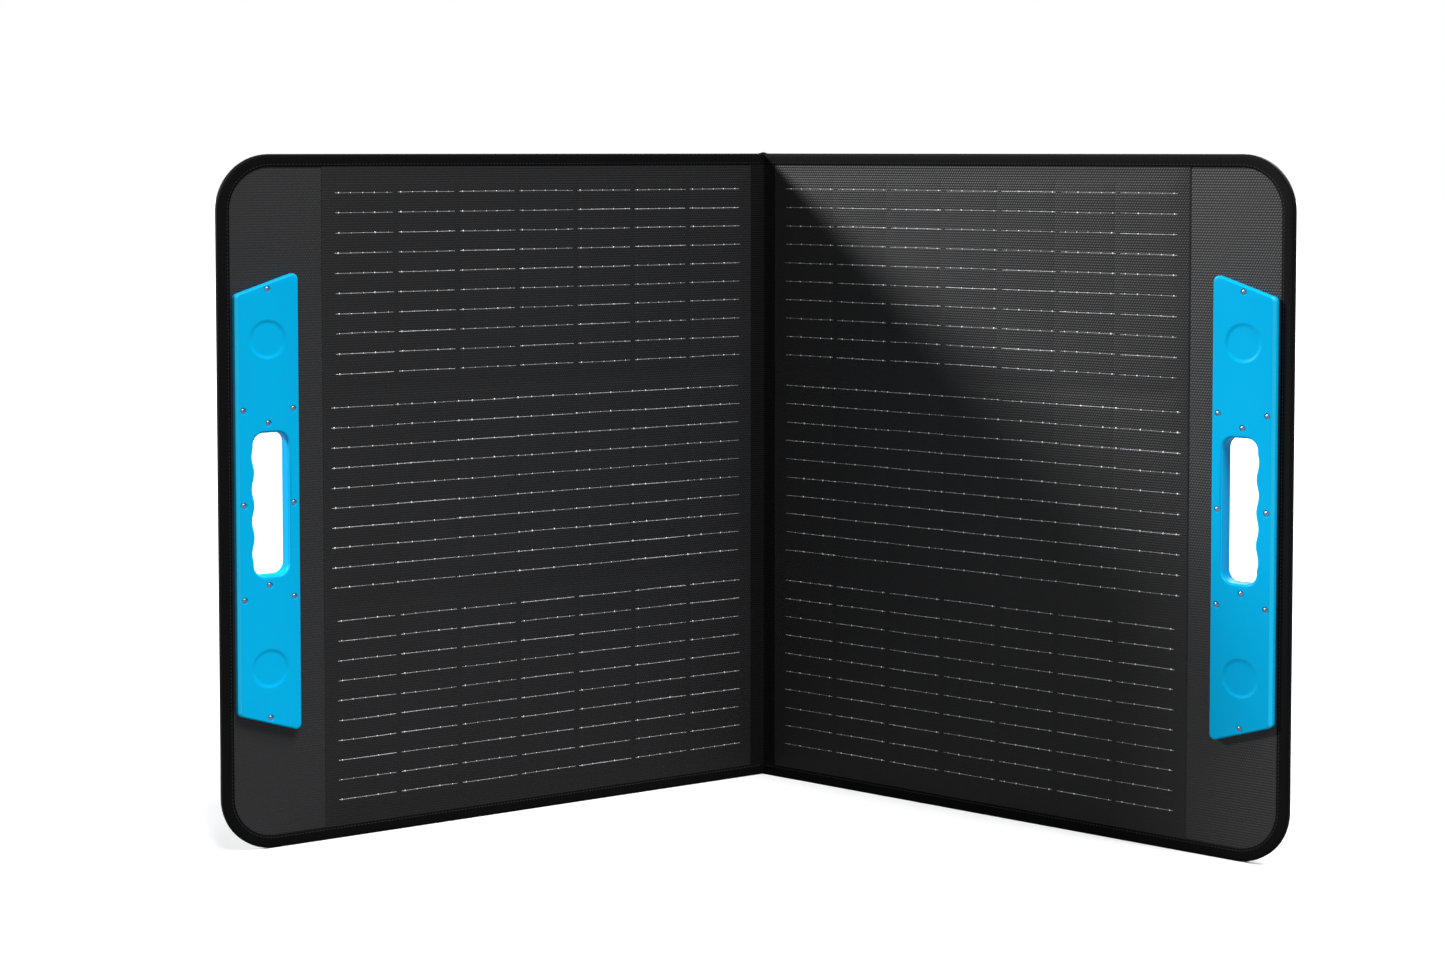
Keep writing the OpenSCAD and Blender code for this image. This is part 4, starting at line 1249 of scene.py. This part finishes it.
def flap():
    """Pocket flap: a sheet with bound sides, hanging over the mouth."""
    path = flap_path()
    x0, x1 = FLAP_LO.x, FLAP_HI.x
    columns = [x0 + (x1 - x0) * i / 44 for i in range(45)]
    low, bend = path[-1][1], path[14][1]
    outer, inner = [], []
    for i, (y, z) in enumerate(path):
        ya, za = path[max(0, i - 1)]
        yb, zb = path[min(len(path) - 1, i + 1)]
        way = Vector((yb - ya, zb - za)).normalized()
        hang = min(1.0, max(0.0, (bend - z) / (bend - low)))
        for sheet, off in ((outer, 0.45), (inner, -0.45)):
            ring = []
            for x in columns:
                corner = 16 * hang * hang * max(0.0, 1 - min(x - x0, x1 - x) / 22) ** 2
                uneven = 0.35 * wobble(x, z, 71.0, 30) * hang
                ring.append(Vector((x, y - way.y * off + uneven, z + corner + way.x * off)))
            sheet.append(ring)
    piece = Piece().shell(outer, inner)
    make(piece, "pocket_flap_sheet", "right", 70, "rear_cloth", "pocket_flap", ["pocket_flap"])

    borders = []
    for sheet in (outer, inner):
        sides = [ring[0] for ring in sheet], [ring[-1] for ring in reversed(sheet)]
        borders.append(sides[0] + sheet[-1][1:-1] + sides[1])
    last = len(borders[0]) - 1
    hem = ((7, 0.62), (3, 0.75), (0.2, 0.68), (-0.45, 0.3))
    hem += tuple((u, -v) for u, v in reversed(hem))
    rings = []
    for i, (a, b) in enumerate(zip(*borders)):
        way = (borders[0][min(i + 1, last)] - borders[0][max(i - 1, 0)]).normalized()
        across = (a - b).normalized()
        inward = across.cross(way).normalized()
        middle = (a + b) / 2
        toward = Vector(((x0 + x1) / 2 - middle.x, 0, 40))
        if inward.dot(toward) < 0:
            inward = -inward
        rings.append([middle + inward * u + across * v for u, v in hem])
    piece = Piece().tube(rings)
    make(piece, "pocket_flap_edge_tape", "right", 60, "binding_tape", "pocket_flap")

    piece = strip(flap_tape_path(), x0 + 1, x1 - 1, 0.6, 16)
    nodes = ["pocket_flap_tape"]
    hinge = make(piece, "pocket_flap_hinge_tape", "right", 60, "webbing", None, nodes)
    top = FLAP_HI.z - 0.75
    ends = ((BACK_Y + 0.2, top + 2.2), (8.2, top + 0.4))
    bend_between(hinge, "right", "right_leaf", "pocket_flap", *ends)
    rows = [
        (at_depth([(x0 + 3, z), (x1 - 3, z)], BACK_Y + 0.63), 1)
        for z in (FLAP_HI.z + 13, FLAP_HI.z + 7)
    ]
    seam("pocket_flap_stitches", "right", "webbing", "right_leaf", rows)
    for kind, body in (("loop", "right_leaf"), ("hook", "pocket_flap")):
        node = f"pocket_{kind}_pad"
        pad(f"pocket_{kind}_patch", "right", leaf_box(node), body, node)


# ---------------------------------------------------------------- cloth as it was cut


def outline_area(points):
    """Area inside an outline, in square millimetres."""
    pairs = zip(points, points[1:] + points[:1])
    return abs(sum(a[0] * b[1] - b[0] * a[1] for a, b in pairs)) / 2


def path_length(points):
    return sum(math.dist(a, b) for a, b in zip(points, points[1:]))


def declare_cloth():
    """Works out flat sizes of the cloth sheets, covers and hinge tapes, and records none of them."""
    cut = outline_area(leaf_outline(CLOTH_INSET)) - outline_area(grip_outline(HOLE_GROW))
    stand_cut = outline_area(stand_outline(STAND_INSET))
    for side in SIDES:
        size = (TAPE_HI.x - TAPE_LO.x, path_length(stand_tape_path()))
    for name, radius, on in (("front", FOLD_GAP, "face"), ("rear", FOLD_GAP + LEAF_T, "rear")):
        width = 2 * (SPINE_W + LEAN * radius)
    middle_z, middle_x = (POCKET_LO.z + POCKET_HI.z) / 2, (POCKET_LO.x + POCKET_HI.x) / 2
    steps = [i / 60 for i in range(61)]
    across = [POCKET_LO.x + (POCKET_HI.x - POCKET_LO.x) * s for s in steps]
    along = [POCKET_LO.z + (POCKET_HI.z - POCKET_LO.z) * s for s in steps]
    width = path_length([(x, pocket_depth(x, middle_z)) for x in across])
    length = path_length([(z, pocket_depth(middle_x, z)) for z in along])
    width = FLAP_HI.x - FLAP_LO.x
    path_length(flap_path())
    length = path_length(flap_tape_path())


# ---------------------------------------------------------------- nodes that keep their CAD shape

CAD_LOOKS = {
    "core_board": "board",
    "stand_board": "board",
    "backsheet": "backsheet",
    "bus_strips": "copper",
    "cells": "cell",
    "handle_screws": "screw_steel",
    "handle_magnets": "magnet",
}
CENTRE_LOOKS = {
    "regulator_base": "box_plastic",
    "regulator_lid": "box_plastic",
    "regulator_board": "circuit_board",
    "regulator_screws": "screw_steel",
    "usb_a_socket": "socket_steel",
    "usb_c_socket": "socket_steel",
    "status_light": "light_lens",
    "output_gland": "rubber",
    "dust_cap": "rubber",
}
BEVELS = {"regulator_base": 0.5, "regulator_lid": 0.6, "dust_cap": 0.5, "regulator_board": 0.15}


def soften(obj, width):
    """Welds the CAD mesh and rounds its edges."""
    weld = obj.modifiers.new("weld", "WELD")
    weld.merge_threshold = 1e-6
    flat = obj.modifiers.new("flat", "DECIMATE")
    flat.decimate_type = "DISSOLVE"
    flat.angle_limit = math.radians(1)
    bevel = obj.modifiers.new("bevel", "BEVEL")
    bevel.width = width * MM
    bevel.segments = 3
    bevel.limit_method = "ANGLE"
    bevel.angle_limit = math.radians(35)
    bevel.use_clamp_overlap = True
    even_normals(obj)


def dress_cad():
    looks = {f"{side}_{name}": look for side in SIDES for name, look in CAD_LOOKS.items()}
    looks.update(CENTRE_LOOKS)
    for name, look in looks.items():
        obj = NODES[name]
        obj.data.materials.clear()
        obj.data.materials.append(LOOKS[look])
        if name in BEVELS:
            soften(obj, BEVELS[name])


# ---------------------------------------------------------------- stage, lights and camera


def stage():
    """Plain pale floor."""
    size = 30.0
    mesh = bpy.data.meshes.new("floor")
    corners = [(-size, -size, 0), (size, -size, 0), (size, size, 0), (-size, size, 0)]
    mesh.from_pydata(corners, [], [(0, 1, 2, 3)])
    floor = bpy.data.objects.new("floor", mesh)
    floor.data.materials.append(floor_look())
    bpy.context.scene.collection.objects.link(floor)


def sun(name, toward, strength, spread):
    """Sun lamp that shines from the given direction, with a soft edge of spread degrees."""
    lamp = bpy.data.lights.new(name, "SUN")
    lamp.energy = strength
    lamp.angle = math.radians(spread)
    obj = bpy.data.objects.new(name, lamp)
    obj.rotation_euler = Vector(toward).to_track_quat("Z", "Y").to_euler()
    bpy.context.scene.collection.objects.link(obj)


def lights():
    """A key light from the left, just behind the left leaf's plane, which throws that leaf's
    shadow across the right one, and weaker lights for the left leaf, the floor and the backs."""
    cos, sin = math.cos(LEAN), math.sin(LEAN)
    reach = 1.06
    sun("key", (-cos * (reach + 1), sin * (1 - reach), 0.79), 3.65, 11)
    sun("fill", (0.35, -0.35, 0.87), 4.45, 30)
    sun("rear", (0.3, 0.8, 0.5), 2.0, 40)
    world = bpy.data.worlds.new("studio")
    world.use_nodes = True
    bpy.context.scene.world = world
    nodes, links = world.node_tree.nodes, world.node_tree.links
    seen, lit = nodes["Background"], nodes.new("ShaderNodeBackground")
    for background, strength in ((seen, 1.0), (lit, 0.12)):
        background.inputs["Color"].default_value = (1, 1, 1, 1)
        background.inputs["Strength"].default_value = strength
    path, mix = nodes.new("ShaderNodeLightPath"), nodes.new("ShaderNodeMixShader")
    links.new(path.outputs["Is Camera Ray"], mix.inputs["Fac"])
    links.new(lit.outputs["Background"], mix.inputs[1])
    links.new(seen.outputs["Background"], mix.inputs[2])
    links.new(mix.outputs["Shader"], nodes["World Output"].inputs["Surface"])
    bpy.context.scene.view_settings.view_transform = "Standard"


def camera():
    """Long lens a little right of the middle, at about the top of the leaves, looking at the fold."""
    data = bpy.data.cameras.new("camera")
    data.lens = 64.5
    data.sensor_width = 36
    data.shift_y = -0.14
    obj = bpy.data.objects.new("camera", data)
    fold_line_y = FOLD.y + 4.08 * MM
    obj.location = (0.09154, fold_line_y - 2.5696, LEAF_H * MM + 0.0039)
    obj.rotation_euler = (math.radians(90 - 2.867), 0, math.radians(2.9425))
    bpy.context.scene.collection.objects.link(obj)
    bpy.context.scene.camera = obj


# ---------------------------------------------------------------- build

camera()
for side_name in SIDES:
    film(side_name)
    ribbons(side_name)
    leaf_cloths(side_name)
    binding(side_name)
    handle_front(side_name)
    handle_rear(side_name)
    stand(side_name)
spine()
pocket()
flap()
declare_cloth()
dress_cad()
stage()
lights()
